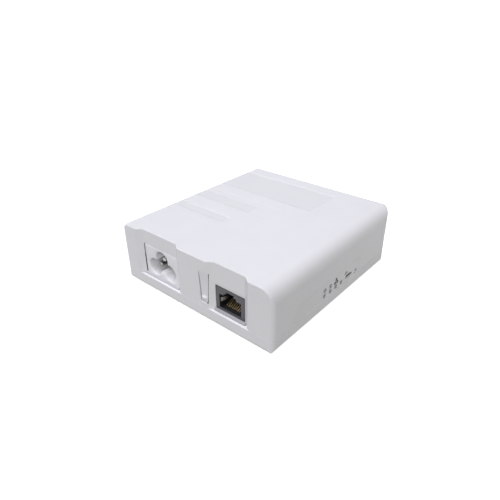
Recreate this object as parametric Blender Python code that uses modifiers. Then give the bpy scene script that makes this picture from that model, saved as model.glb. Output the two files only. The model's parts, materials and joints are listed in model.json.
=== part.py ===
"""PoE injector: a white desktop power-over-Ethernet box with a cloverleaf mains inlet and one Ethernet socket.

Frame: metres, +Z up, ports face -Y, indicator lamps face +X, origin at the centre of the footprint on the surface
that the feet rest on.
"""
import math

import bmesh
import bpy
from mathutils import Matrix, Vector

MM = 0.001

# Driving dimensions, millimetres
WIDTH = 90.0            # X, housing
DEPTH = 99.5            # Y, housing
TRAY_BOTTOM = 0.5       # underside of the tray, held off the table by the feet
TOP = 30.9              # top face of the upper shell
SEAM = 7.4              # height of the parting line
SEAM_GAP = 0.15         # running gap between the two housing halves
WALL = 2.0              # housing wall
RIM = 3.3               # tray wall, including its inner lip
LIP_GAP = 0.3           # gap between the tray's lip and the shell wall
LIP_TOP = 9.0
FLOOR = 2.0             # tray floor
R_FRONT_RIGHT, R_FRONT_LEFT, R_REAR_RIGHT, R_REAR_LEFT = 2.6, 1.3, 8.2, 6.0     # upright corners, in plan
R_TOP_RIGHT, R_TOP_LEFT, R_LOW_LEFT, R_LOW_RIGHT = 6.5, 2.6, 3.4, 3.0           # long edges, seen from the front
R_TOP_REAR, R_TOP_FRONT, R_LOW_FRONT, R_LOW_REAR = 1.8, 0.5, 2.4, 2.0           # cross edges, seen from the side

POCKET_DEPTH = 2.25                     # port pockets in the front face
POCKETS = ((10.9, 36.3), (56.4, 76.0))  # mid-slope positions from the left side of the housing
POCKET_SLOPE = 2.2                      # half width of each S-shaped side

BOARD_LOW, BOARD_TOP = 6.7, 8.3
BOARD_INSET = 3.7

INLET_X = -21.4                         # mains inlet, centre
INLET_W, INLET_LOW, INLET_TOP = 22.2, 7.8, 23.7
INLET_FRONT, INLET_REAR = -47.55, -29.55
INLET_CAVITY = 13.0                     # depth of the cloverleaf
LOBE_R, LOBE_X, LOBE_Z, EARTH_Z = 4.0, 5.0, 13.0, 18.15
PIN_R = 1.2
PIN_TAIL_Y = -27.5

JACK_X = 21.15                          # Ethernet socket, centre
JACK_W, JACK_LOW, JACK_TOP = 16.0, 8.45, 20.0
JACK_FRONT, JACK_REAR = -47.6, -29.2
SHEET = 0.4                             # socket shield metal
CONTACT_PITCH = 1.02
CONTACT_ROOT = (-45.85, 10.2)           # Y, Z of the bend that the contact springs flex about

TONGUE_X, TONGUE_W = 8.2, 4.1           # sprung latch tongue between the two ports
TONGUE_LOW, TONGUE_ROOT = 10.1, 25.0
SLOT = 0.6

PANEL_Y = (-34.5, 20.2)                 # shallow lamp panel on the right side
PANEL_TOP = 15.5
PANEL_DEPTH = 0.25
LAMP_Y = [-12.1 + 4.7 * i for i in range(4)]
LAMP_Z = 9.2
USB_Y, USB_Z = 9.5, 9.8
RESET_Y, RESET_Z = 15.6, 9.3

POST_X, POST_Y = 36.0, 41.0             # case screws, mirrored to the four corners

for old in list(bpy.data.objects):
    bpy.data.objects.remove(old, do_unlink=True)

parts = bpy.data.collections.new("poe_injector")
cutters = bpy.data.collections.new("cutters")
bpy.context.scene.collection.children.link(parts)
bpy.context.scene.collection.children.link(cutters)


def material(name, colour, roughness, metallic=0.0, alpha=1.0):
    m = bpy.data.materials.new(name)
    m.use_nodes = True
    bsdf = m.node_tree.nodes["Principled BSDF"]
    bsdf.inputs["Base Color"].default_value = (*colour, 1.0)
    bsdf.inputs["Roughness"].default_value = roughness
    bsdf.inputs["Metallic"].default_value = metallic
    bsdf.inputs["Alpha"].default_value = alpha
    return m


FINISH = {
    "shell_white": ((0.86, 0.86, 0.89), 0.42, 0.0),
    "tray_white": ((0.84, 0.84, 0.87), 0.45, 0.0),
    "inlet_white": ((0.88, 0.88, 0.89), 0.35, 0.0),
    "pin_metal": ((0.78, 0.76, 0.72), 0.22, 1.0),
    "shield_metal": ((0.36, 0.35, 0.34), 0.32, 1.0),
    "socket_black": ((0.02, 0.02, 0.022), 0.5, 0.0),
    "contact_gold": ((0.83, 0.58, 0.25), 0.25, 1.0),
    "board_green": ((0.03, 0.20, 0.08), 0.45, 0.0),
    "part_black": ((0.03, 0.03, 0.032), 0.55, 0.0),
    "part_yellow": ((0.78, 0.62, 0.10), 0.5, 0.0),
    "part_blue": ((0.08, 0.22, 0.55), 0.5, 0.0),
    "ferrite": ((0.06, 0.055, 0.055), 0.7, 0.0),
    "copper": ((0.72, 0.32, 0.14), 0.3, 1.0),
    "winding_tape": ((0.80, 0.66, 0.12), 0.45, 0.0),
    "can_sleeve": ((0.05, 0.06, 0.12), 0.4, 0.0),
    "bare_aluminium": ((0.72, 0.73, 0.74), 0.35, 1.0),
    "lamp_lens": ((0.42, 0.43, 0.44), 0.35, 0.0),
    "lamp_body": ((0.90, 0.88, 0.80), 0.4, 0.0),
    "button_grey": ((0.45, 0.46, 0.47), 0.5, 0.0),
    "screw_steel": ((0.55, 0.55, 0.56), 0.3, 1.0),
    "foot_rubber": ((0.10, 0.10, 0.10), 0.8, 0.0),
}


def adopt(obj, name, finish):
    """Name the object, give it a material and file it under the parts."""
    obj.name = name
    obj.data.name = name
    obj.data.materials.clear()
    obj.data.materials.append(material(name, *FINISH[finish]))
    for c in list(obj.users_collection):
        c.objects.unlink(obj)
    parts.objects.link(obj)
    return obj


def as_cutter(obj, name):
    obj.name = name
    obj.hide_render = True
    obj.display_type = "WIRE"
    for c in list(obj.users_collection):
        c.objects.unlink(obj)
    cutters.objects.link(obj)
    return obj


def mesh_object(name, bm):
    me = bpy.data.meshes.new(name)
    bm.to_mesh(me)
    bm.free()
    obj = bpy.data.objects.new(name, me)
    bpy.context.scene.collection.objects.link(obj)
    return obj


def box(x0, x1, y0, y1, z0, z1, origin=None):
    bm = bmesh.new()
    bmesh.ops.create_cube(bm, size=1.0)
    centre = Vector(((x0 + x1) / 2, (y0 + y1) / 2, (z0 + z1) / 2)) * MM
    at = Vector(origin) * MM if origin else centre
    bmesh.ops.scale(bm, vec=Vector((x1 - x0, y1 - y0, z1 - z0)) * MM, verts=bm.verts)
    bmesh.ops.translate(bm, vec=centre - at, verts=bm.verts)
    obj = mesh_object("box", bm)
    obj.location = at
    return obj


def chamfer(obj, width, segments=1):
    mod = obj.modifiers.new("edges", "BEVEL")
    mod.width = width * MM
    mod.segments = segments
    mod.limit_method = "ANGLE"
    mod.angle_limit = math.radians(40)
    mod.use_clamp_overlap = True
    return obj


TURN = {"Z": (0, 0, 0), "X": (0, math.pi / 2, 0), "Y": (math.pi / 2, 0, 0)}


def cylinder(r, centre, lo, hi, axis="Z", sides=24, r2=None):
    """Cylinder along an axis, between two coordinates on it; centre gives the other two coordinates."""
    bm = bmesh.new()
    bmesh.ops.create_cone(bm, cap_ends=True, segments=sides, radius1=r * MM, radius2=(r if r2 is None else r2) * MM,
                          depth=(hi - lo) * MM)
    obj = mesh_object("cylinder", bm)
    mid = (lo + hi) / 2
    at = {"Z": (centre[0], centre[1], mid), "X": (mid, centre[0], centre[1]), "Y": (centre[0], mid, centre[1])}[axis]
    obj.location = Vector(at) * MM
    obj.rotation_euler = TURN[axis]
    smooth(obj)
    return obj


def smooth(obj, angle=35):
    obj.data.shade_smooth()
    obj.data.set_sharp_from_angle(angle=math.radians(angle))
    return obj


def outline(points, lo, hi, axis="Z"):
    """Flat outline drawn in the plane across the axis and thickened between two coordinates on it.

    Axis Z takes (x, y) points, axis Y takes (x, z) points and axis X takes (y, z) points.
    """
    cu = bpy.data.curves.new("outline", "CURVE")
    cu.dimensions = "2D"
    cu.fill_mode = "BOTH"
    cu.extrude = (hi - lo) / 2 * MM
    sp = cu.splines.new("POLY")
    sp.points.add(len(points) - 1)
    for p, (u, v) in zip(sp.points, points):
        p.co = (u * MM, v * MM, 0.0, 1.0)
    sp.use_cyclic_u = True
    guide = bpy.data.objects.new("outline", cu)
    bpy.context.scene.collection.objects.link(guide)
    mid = (lo + hi) / 2 * MM
    guide.location = {"Z": (0, 0, mid), "Y": (0, mid, 0), "X": (mid, 0, 0)}[axis]
    guide.rotation_euler = {"Z": (0, 0, 0), "Y": (math.pi / 2, 0, 0), "X": (math.pi / 2, 0, math.pi / 2)}[axis]
    bpy.context.view_layer.update()
    deps = bpy.context.evaluated_depsgraph_get()
    me = bpy.data.meshes.new_from_object(guide.evaluated_get(deps))
    bm = bmesh.new()
    bm.from_mesh(me)
    bmesh.ops.remove_doubles(bm, verts=bm.verts, dist=1e-6)
    bmesh.ops.dissolve_limit(bm, angle_limit=math.radians(0.05), verts=bm.verts, edges=bm.edges)
    bmesh.ops.recalc_face_normals(bm, faces=bm.faces)
    bm.to_mesh(me)
    bm.free()
    obj = bpy.data.objects.new("outline", me)
    bpy.context.scene.collection.objects.link(obj)
    obj.matrix_world = guide.matrix_world.copy()
    bpy.data.objects.remove(guide, do_unlink=True)
    return obj


def turned(profile, at, axis="Z", steps=24):
    """Turned solid: (radius, height) points from the top of its axis down its outer side to the bottom of its axis."""
    me = bpy.data.meshes.new("turned")
    bm = bmesh.new()
    verts = [bm.verts.new((r * MM, 0, h * MM)) for r, h in profile]
    for a, b in zip(verts, verts[1:]):
        bm.edges.new((a, b))
    bm.to_mesh(me)
    bm.free()
    obj = bpy.data.objects.new("turned", me)
    bpy.context.scene.collection.objects.link(obj)
    mod = obj.modifiers.new("turn", "SCREW")
    mod.axis = "Z"
    mod.steps = mod.render_steps = steps
    mod.use_merge_vertices = True
    mod.merge_threshold = 1e-6
    mod.use_smooth_shade = True
    obj.location = Vector(at) * MM
    obj.rotation_euler = TURN[axis]
    return obj


counter = [0]


def boolean(obj, tool, operation):
    counter[0] += 1
    as_cutter(tool, "tool_%03d" % counter[0])
    mod = obj.modifiers.new("%s_%03d" % (operation.lower(), counter[0]), "BOOLEAN")
    mod.operation = operation
    mod.solver = "EXACT"
    mod.object = tool
    return obj


def cut(obj, tool):
    return boolean(obj, tool, "DIFFERENCE")


def join(obj, tool):
    return boolean(obj, tool, "UNION")


def keep(obj, tool):
    return boolean(obj, tool, "INTERSECT")


def arc(cx, cy, r, start, n):
    return [(cx + r * math.cos(math.radians(start + 90.0 * i / n)), cy + r * math.sin(math.radians(start + 90.0 * i / n)))
            for i in range(n + 1)]


def rounded(x0, x1, y0, y1, radii, n=6):
    """Rectangle with radii given for its low-low, high-low, high-high and low-high corners."""
    a, b, c, d = radii
    return (arc(x0 + a, y0 + a, a, 180, n) + arc(x1 - b, y0 + b, b, 270, n)
            + arc(x1 - c, y1 - c, c, 0, n) + arc(x0 + d, y1 - d, d, 90, n))


def plan(inset, pockets):
    """Plan outline of the housing, moved in by inset, with or without the two port pockets in its front side."""
    hw, hd = WIDTH / 2 - inset, DEPTH / 2 - inset
    r = [max(v - inset, 0.4) for v in (R_FRONT_LEFT, R_FRONT_RIGHT, R_REAR_RIGHT, R_REAR_LEFT)]
    pts = arc(-hw + r[0], -hd + r[0], r[0], 180, 3)
    if pockets:
        n = 6
        for left, right in POCKETS:
            for centre, sign in ((left, 1), (right, -1)):
                for i in range(n + 1):
                    t = i / n
                    x = centre - WIDTH / 2 + POCKET_SLOPE * (2 * t - 1)
                    s = (1 - math.cos(math.pi * t)) / 2
                    pts.append((x, -hd + POCKET_DEPTH * (s if sign > 0 else 1 - s)))
    pts += arc(hw - r[1], -hd + r[1], r[1], 270, 4)
    pts += arc(hw - r[2], hd - r[2], r[2], 0, 8)
    pts += arc(-hw + r[3], hd - r[3], r[3], 90, 6)
    return pts


def front_profile(inset):
    r = [max(v - inset, 0.4) for v in (R_LOW_LEFT, R_LOW_RIGHT, R_TOP_RIGHT, R_TOP_LEFT)]
    hw = WIDTH / 2 - inset
    return rounded(-hw, hw, TRAY_BOTTOM + inset, TOP - inset, r, 6)


def side_profile(inset):
    r = [max(v - inset, 0.4) for v in (R_LOW_FRONT, R_LOW_REAR, R_TOP_REAR, R_TOP_FRONT)]
    hd = DEPTH / 2 - inset
    return rounded(-hd, hd, TRAY_BOTTOM + inset, TOP - inset, r, 4)


CORNERS = [(sx * POST_X, sy * POST_Y) for sy in (-1, 1) for sx in (-1, 1)]
FAR = 60.0

# --- upper shell --------------------------------------------------------------------------------------------------
shell = adopt(outline(plan(0, True), SEAM + SEAM_GAP / 2, TOP + 2), "upper_shell", "shell_white")
keep(shell, outline(front_profile(0), -FAR, FAR, "Y"))
keep(shell, outline(side_profile(0), -FAR, FAR, "X"))
room = outline(plan(WALL, True), -5, TOP - WALL)
keep(room, outline(front_profile(WALL), -FAR, FAR, "Y"))
cut(shell, room)
for x, y in CORNERS:
    join(shell, cylinder(2.8, (x, y), BOARD_TOP + 0.15, TOP - WALL + 1.0, sides=16))
    cut(shell, cylinder(1.45, (x, y), BOARD_TOP - 1, 19.0, sides=12))
cut(shell, box(INLET_X - INLET_W / 2 - 0.3, INLET_X + INLET_W / 2 + 0.3, -53, -41, 3, INLET_TOP + 0.3))
cut(shell, box(JACK_X - JACK_W / 2 - 0.3, JACK_X + JACK_W / 2 + 0.3, -53, -41, 3, JACK_TOP + 0.3))
cut(shell, box(TONGUE_X - TONGUE_W / 2 - SLOT, TONGUE_X + TONGUE_W / 2 + SLOT, -53, -46, TONGUE_LOW - SLOT, TONGUE_ROOT + 0.15))
cut(shell, outline(rounded(PANEL_Y[0], PANEL_Y[1], 0, PANEL_TOP, (1, 1, 3, 3), 4), WIDTH / 2 - PANEL_DEPTH, WIDTH / 2 + 3, "X"))
for y in LAMP_Y:
    cut(shell, box(40, 48, y - 0.85, y + 0.85, LAMP_Z - 0.85, LAMP_Z + 0.85))
cut(shell, outline(rounded(USB_Y - 3.7, USB_Y + 3.7, USB_Z - 1.0, USB_Z + 1.0, (0.5,) * 4, 3), 40, 48, "X"))
cut(shell, cylinder(1.1, (RESET_Y, RESET_Z), 40, 48, "X", 16))
for y0, y1, x1 in ((-18.75, -12.95, -9.6), (-2.95, 8.05, 4.5), (17.25, 40.25, 16.2)):
    cut(shell, box(-WIDTH / 2 - 3, x1, y0, y1, TOP - 0.35, TOP + 3))

# --- base tray ----------------------------------------------------------------------------------------------------
tray = adopt(outline(plan(0, False), -2, SEAM - SEAM_GAP / 2), "base_tray", "tray_white")
keep(tray, outline(front_profile(0), -FAR, FAR, "Y"))
keep(tray, outline(side_profile(0), -FAR, FAR, "X"))
join(tray, outline(plan(WALL + LIP_GAP, True), 4.0, LIP_TOP))
cut(tray, outline(plan(RIM, True), TRAY_BOTTOM + FLOOR, 20))
cut(tray, box(INLET_X - INLET_W / 2 - 1.0, INLET_X + INLET_W / 2 + 1.0, -48.2, -39, SEAM - SEAM_GAP / 2, 20))
cut(tray, box(JACK_X - JACK_W / 2 - 1.0, JACK_X + JACK_W / 2 + 1.0, -48.2, -39, SEAM - SEAM_GAP / 2, 20))
cut(tray, box(38, 50, PANEL_Y[0] - 2, PANEL_Y[1] + 2, SEAM - SEAM_GAP / 2, 20))
for x, y in CORNERS:
    join(tray, cylinder(4.5, (x, y), TRAY_BOTTOM + 1.2, BOARD_LOW - 0.15, sides=20))
    cut(tray, cylinder(4.45, (x, y), -1, TRAY_BOTTOM + 0.6, sides=24))
    cut(tray, cylinder(2.75, (x, y), -1, 3.4, sides=20))
    cut(tray, cylinder(1.6, (x, y), 1, 9, sides=12))

for i, (x, y) in enumerate(CORNERS):
    foot = adopt(cylinder(4.2, (x, y), 0.0, 0.95, sides=24), "foot_%d" % (i + 1), "foot_rubber")
    chamfer(foot, 0.25)
    adopt(turned([(0, 15.5), (0.7, 15.5), (1.25, 14.5), (1.25, 3.1), (2.4, 3.1), (2.4, 1.9), (2.0, 1.45), (0, 1.45)],
                 (x, y, 0), steps=16), "case_screw_%d" % (i + 1), "screw_steel")

# --- latch tongue -------------------------------------------------------------------------------------------------
tf = -DEPTH / 2                                       # front face
tongue = outline([(tf, TONGUE_ROOT), (tf + 0.45, TONGUE_ROOT - 1.4), (tf + 0.45, 12.8), (tf, 12.3), (tf, 11.6),
                  (tf + 0.5, TONGUE_LOW + 0.1), (tf + 0.7, TONGUE_LOW), (tf + 1.9, TONGUE_LOW), (tf + 1.9, TONGUE_ROOT)][::-1],
                 TONGUE_X - TONGUE_W / 2, TONGUE_X + TONGUE_W / 2, "X")
adopt(tongue, "latch_tongue", "shell_white")
hinge = bpy.data.objects.new("latch_tongue_axis", None)
hinge.location = Vector((TONGUE_X, tf + 1.2, TONGUE_ROOT - 0.2)) * MM
parts.objects.link(hinge)
bpy.context.view_layer.update()
tongue.parent = hinge
tongue.matrix_parent_inverse = hinge.matrix_world.inverted()

# --- mains inlet --------------------------------------------------------------------------------------------------


def cloverleaf(n=60):
    """Outline of the three-lobed inlet opening, read outward from its middle."""
    cz = LOBE_Z + 1.6
    discs = [(-LOBE_X, LOBE_Z - cz, LOBE_R), (LOBE_X, LOBE_Z - cz, LOBE_R), (0, EARTH_Z - cz, LOBE_R), (0, 0, 3.0)]
    pts = []
    for i in range(n):
        a = 2 * math.pi * i / n
        dx, dz = math.cos(a), math.sin(a)
        reach = 0.0
        for px, pz, r in discs:
            b = px * dx + pz * dz
            q = b * b - (px * px + pz * pz - r * r)
            if q > 0:
                reach = max(reach, b + math.sqrt(q))
        pts.append((INLET_X + reach * dx, cz + reach * dz))
    return pts


inlet = adopt(outline(rounded(INLET_X - INLET_W / 2, INLET_X + INLET_W / 2, INLET_LOW, INLET_TOP, (0.5, 0.5, 1.0, 1.0), 3),
                      INLET_FRONT, INLET_REAR, "Y"), "inlet_body", "inlet_white")
cut(inlet, outline(cloverleaf(), INLET_FRONT - 5, INLET_FRONT + INLET_CAVITY, "Y"))
PINS = {"inlet_pin_line": (-LOBE_X, LOBE_Z, 3.3), "inlet_pin_neutral": (LOBE_X, LOBE_Z, 3.3),
        "inlet_pin_earth": (0.0, EARTH_Z, 1.5)}      # place, and depth of the tip behind the face of the inlet
for name, (dx, z, depth) in PINS.items():
    x = INLET_X + dx
    cut(inlet, cylinder(1.4, (x, z), INLET_FRONT + INLET_CAVITY - 1, INLET_REAR + 2, "Y", 16))
    length = PIN_TAIL_Y - (INLET_FRONT + depth)
    pin = turned([(0, length), (0.7, length), (1.0, length - 0.2), (PIN_R, length - 0.7), (PIN_R, 0), (0, 0)],
                 (x, PIN_TAIL_Y, z), "Y", 16)
    join(pin, box(x - 0.8, x + 0.8, PIN_TAIL_Y - 0.4, PIN_TAIL_Y + 0.4, 4.4, z))
    adopt(pin, name, "pin_metal")

# --- Ethernet socket ----------------------------------------------------------------------------------------------
JL, JR = JACK_X - JACK_W / 2, JACK_X + JACK_W / 2


def socket_mouth(grow=0.0):
    """Stepped plug opening with the latch slot at its top."""
    half, latch, step = 5.9 + grow, 3.3 + grow, 2.1 + grow
    low, shoulder, mid, top = 9.85 - grow, 16.25 + grow, 17.7 + grow, 18.5 + grow
    right = [(half, low), (half, shoulder), (latch, shoulder), (latch, mid), (step, mid), (step, top)]
    return [(JACK_X + u, v) for u, v in right] + [(JACK_X - u, v) for u, v in right[::-1]]


shield = adopt(box(JL, JR, JACK_FRONT, JACK_REAR, JACK_LOW, JACK_TOP), "jack_shield", "shield_metal")
cut(shield, box(JL + SHEET, JR - SHEET, JACK_FRONT + SHEET, JACK_REAR - SHEET, JACK_LOW + SHEET, JACK_TOP - SHEET))
cut(shield, outline(socket_mouth(0.12), JACK_FRONT - 3, JACK_FRONT + 2, "Y"))
for x in (JL, JR - SHEET):
    join(shield, box(x, x + SHEET, -39.2, -37.7, 4.8, JACK_LOW + 2))
insert = adopt(box(JL + SHEET + 0.15, JR - SHEET - 0.15, JACK_FRONT + SHEET + 0.15, JACK_REAR - SHEET - 0.15,
                   JACK_LOW + SHEET + 0.15, JACK_TOP - SHEET - 0.15), "jack_insert", "socket_black")
cut(insert, outline(socket_mouth(), JACK_FRONT - 3, JACK_FRONT + 14.0, "Y"))
ry, rz = CONTACT_ROOT
spring = bpy.data.objects.new("contact_axis", None)
spring.location = Vector((JACK_X, ry, rz)) * MM
parts.objects.link(spring)
bpy.context.view_layer.update()
for i in range(8):
    x = JACK_X + (i - 3.5) * CONTACT_PITCH
    strip = outline([(ry - 0.15, rz - 0.1), (ry, rz - 0.15), (ry + 8.6, rz + 2.75), (ry + 9.6, rz + 2.65), (ry + 9.7, rz + 2.9),
                     (ry + 8.6, rz + 3.08), (ry, rz + 0.15), (ry - 0.15, rz + 0.1)], x - 0.2, x + 0.2, "X")
    adopt(strip, "jack_contact_%d" % (i + 1), "contact_gold")
    strip.parent = spring
    strip.matrix_parent_inverse = spring.matrix_world.inverted()

# --- circuit board and what stands on it --------------------------------------------------------------------------
board = adopt(outline(plan(BOARD_INSET, True), BOARD_LOW, BOARD_TOP), "circuit_board", "board_green")
cut(board, box(INLET_X - INLET_W / 2 - 0.4, INLET_X + INLET_W / 2 + 0.4, -51, INLET_REAR + 0.4, 2, 12))
for x, y in CORNERS:
    cut(board, cylinder(1.8, (x, y), 2, 12, sides=12))
for dx, z, depth in PINS.values():
    cut(board, box(INLET_X + dx - 1.1, INLET_X + dx + 1.1, PIN_TAIL_Y - 0.7, PIN_TAIL_Y + 0.7, 2, 12))
for x in (JL, JR - SHEET):
    cut(board, box(x - 0.25, x + SHEET + 0.25, -39.5, -37.4, 2, 12))

ON = BOARD_TOP + 0.15                                  # underside of everything that stands on the board


def brick(name, x, y, w, d, h, finish, edge=0.4):
    return adopt(chamfer(box(x - w / 2, x + w / 2, y - d / 2, y + d / 2, ON, ON + h), edge), name, finish)


brick("fuse", -37.2, -20.0, 4.5, 8.5, 8.0, "part_black", 0.6)
adopt(chamfer(cylinder(5.0, (-28.6, ON + 5.2), -22.6, -18.6, "Y", 24), 1.0), "varistor", "part_blue")
brick("x_capacitor", -16.0, -19.5, 13.0, 6.5, 12.0, "part_yellow", 0.5)
adopt(chamfer(cylinder(3.4, (-3.5, ON + 3.6), -21.0, -18.5, "Y", 20), 0.7), "y_capacitor", "part_blue")
brick("bridge_rectifier", -34.5, -10.0, 12.0, 3.6, 10.0, "part_black", 0.5)
adopt(chamfer(cylinder(8.0, (-31.5, ON + 8.1), -4.5, 24.5, "Y", 28), 0.8), "bulk_capacitor", "can_sleeve")


def ring(cx, cy, cz, major, minor, start, sweep, n=16, sides=10):
    """Part of a ring standing in the XZ plane, as a tube along an arc with filled ends."""
    cu = bpy.data.curves.new("ring", "CURVE")
    cu.dimensions = "3D"
    cu.bevel_depth = minor * MM
    cu.bevel_resolution = max(0, sides // 2 - 2)
    cu.use_fill_caps = True
    sp = cu.splines.new("POLY")
    closed = sweep >= 360
    count = n if closed else n + 1
    sp.points.add(count - 1)
    for i, p in enumerate(sp.points):
        a = math.radians(start + sweep * i / n)
        p.co = ((cx + major * math.cos(a)) * MM, cy * MM, (cz + major * math.sin(a)) * MM, 1.0)
    sp.use_cyclic_u = closed
    guide = bpy.data.objects.new("ring", cu)
    bpy.context.scene.collection.objects.link(guide)
    bpy.context.view_layer.update()
    deps = bpy.context.evaluated_depsgraph_get()
    me = bpy.data.meshes.new_from_object(guide.evaluated_get(deps))
    bm = bmesh.new()
    bm.from_mesh(me)
    bmesh.ops.remove_doubles(bm, verts=bm.verts, dist=1e-6)
    bmesh.ops.recalc_face_normals(bm, faces=bm.faces)
    bm.to_mesh(me)
    bm.free()
    obj = bpy.data.objects.new("ring", me)
    bpy.context.scene.collection.objects.link(obj)
    obj.matrix_world = guide.matrix_world.copy()
    bpy.data.objects.remove(guide, do_unlink=True)
    return smooth(obj)


CHOKE = (-10.5, -8.5, ON + 8.4)
adopt(ring(*CHOKE, 5.6, 1.7, 0, 360, 24), "line_choke_core", "ferrite")
for side, start in (("left", 115), ("right", -65)):
    coil = ring(*CHOKE, 5.6, 2.55, start, 130, 12)
    cut(coil, ring(*CHOKE, 5.6, 1.95, start - 20, 170, 17))
    adopt(coil, "line_choke_winding_%s" % side, "copper")

# flyback transformer: a ferrite core with two windows, and the wound bobbin round its middle leg
TX, TY, TW, TD, TH = -4.0, 14.0, 26.0, 14.0, 17.0
core = adopt(box(TX - TW / 2, TX + TW / 2, TY - TD / 2, TY + TD / 2, ON + 0.5, ON + TH), "transformer_core", "ferrite")
for s in (-1, 1):
    cut(core, box(TX + s * 6.75 - 2.75, TX + s * 6.75 + 2.75, TY - TD, TY + TD, ON + 3.7, ON + TH - 3.2))
bobbin = box(TX - 9.2, TX + 9.2, TY - TD / 2 - 3.4, TY + TD / 2 + 3.4, ON + 4.0, ON + TH - 3.5)
cut(bobbin, box(TX - 4.3, TX + 4.3, TY - TD / 2 - 0.3, TY + TD / 2 + 0.3, ON - 2, ON + TH + 2))
adopt(bobbin, "transformer_winding", "winding_tape")

adopt(chamfer(cylinder(5.0, (19.0, 10.5), ON, ON + 16.0, "Z", 24), 0.5), "output_capacitor_1", "can_sleeve")
adopt(chamfer(cylinder(5.0, (19.0, 22.0), ON, ON + 16.0, "Z", 24), 0.5), "output_capacitor_2", "can_sleeve")

fins = [(-14.0, 30.0), (14.0, 30.0), (14.0, 31.4)]
for i in range(5):
    x = 12.0 - 6.0 * i
    fins += [(x + 0.6, 31.4), (x + 0.6, 37.0), (x - 0.6, 37.0), (x - 0.6, 31.4)]
fins += [(-14.0, 31.4)]
adopt(outline(fins, ON, ON + 15.0), "heat_sink", "bare_aluminium")
brick("power_transistor", -6.0, 27.4, 10.0, 4.4, 14.5, "part_black", 0.4)
brick("output_rectifier", 7.5, 27.4, 10.0, 4.4, 14.5, "part_black", 0.4)

brick("ethernet_transformer", 21.2, -18.0, 16.0, 13.0, 6.0, "part_black", 0.4)
brick("network_chip", 26.5, -2.5, 12.0, 12.0, 1.2, "part_black", 0.2)
brick("poe_controller", 8.0, -8.0, 5.0, 5.0, 1.0, "part_black", 0.15)
brick("memory_chip", 33.0, 13.5, 5.3, 5.2, 1.8, "part_black", 0.2)
brick("crystal_can", 14.6, -5.0, 4.6, 10.5, 3.4, "bare_aluminium", 0.9)

# --- lamps, light guide, USB socket and reset button on the right side ---------------------------------------------
for i, y in enumerate(LAMP_Y):
    brickx = box(39.7, 40.9, y - 0.8, y + 0.8, ON, ON + 1.2)
    adopt(chamfer(brickx, 0.15), "status_lamp_%d" % (i + 1), "lamp_body")
teeth = [(41.45, LAMP_Y[0] - 1.5), (42.75, LAMP_Y[0] - 1.5)]
for y in LAMP_Y:
    teeth += [(42.75, y - 0.7), (WIDTH / 2 - PANEL_DEPTH - 0.05, y - 0.7), (WIDTH / 2 - PANEL_DEPTH - 0.05, y + 0.7), (42.75, y + 0.7)]
teeth += [(42.75, LAMP_Y[-1] + 1.5), (41.45, LAMP_Y[-1] + 1.5)]
adopt(outline(teeth, LAMP_Z - 0.7, LAMP_Z + 0.7), "light_guide", "lamp_lens")

usb = adopt(outline(rounded(USB_Y - 3.8, USB_Y + 3.8, ON, ON + 2.7, (0.9, 0.9, 0.4, 0.4), 3), 37.4, 42.7, "X"),
            "usb_shell", "shield_metal")
cut(usb, outline(rounded(USB_Y - 3.45, USB_Y + 3.45, ON + 0.35, ON + 2.35, (0.7, 0.7, 0.3, 0.3), 3), 37.9, 45, "X"))
adopt(box(38.1, 42.2, USB_Y - 1.9, USB_Y + 1.9, ON + 1.25, ON + 1.95), "usb_tongue", "socket_black")

bx = WIDTH / 2 - PANEL_DEPTH - 0.15
press = bpy.data.objects.new("reset_axis", None)
press.location = Vector((bx, RESET_Y, RESET_Z)) * MM
parts.objects.link(press)
button = turned([(0, 0), (0.7, 0), (0.85, -0.15), (0.85, 42.8 - bx), (1.35, 42.8 - bx), (1.35, 42.25 - bx), (0.7, 42.25 - bx),
                 (0.7, 41.5 - bx), (0, 41.5 - bx)], (bx, RESET_Y, RESET_Z), "X", 16)
adopt(button, "reset_button", "button_grey")
switch = adopt(box(36.2, 40.6, RESET_Y - 1.55, RESET_Y + 1.55, ON, ON + 3.2), "reset_switch_body", "part_black")
cut(switch, cylinder(0.9, (RESET_Y, RESET_Z), 38.8, 45, "X", 12))
plunger = turned([(0, 1.8), (0.55, 1.8), (0.7, 1.65), (0.7, 0), (0, 0)], (39.6, RESET_Y, RESET_Z), "X", 12)
adopt(plunger, "reset_switch_plunger", "button_grey")
bpy.context.view_layer.update()
for piece in (button, plunger):
    piece.parent = press
    piece.matrix_parent_inverse = press.matrix_world.inverted()
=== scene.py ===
"""Looks of the PoE injector: a white two-part housing with fine fillets, ports, tongue, lamps and icons.

Everything is in metres in the part's own frame: +Z up, ports face -Y, lamps face +X.
"""

import json
import math

import bmesh
import bpy
import numpy as np
from mathutils import Matrix, Vector

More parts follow.
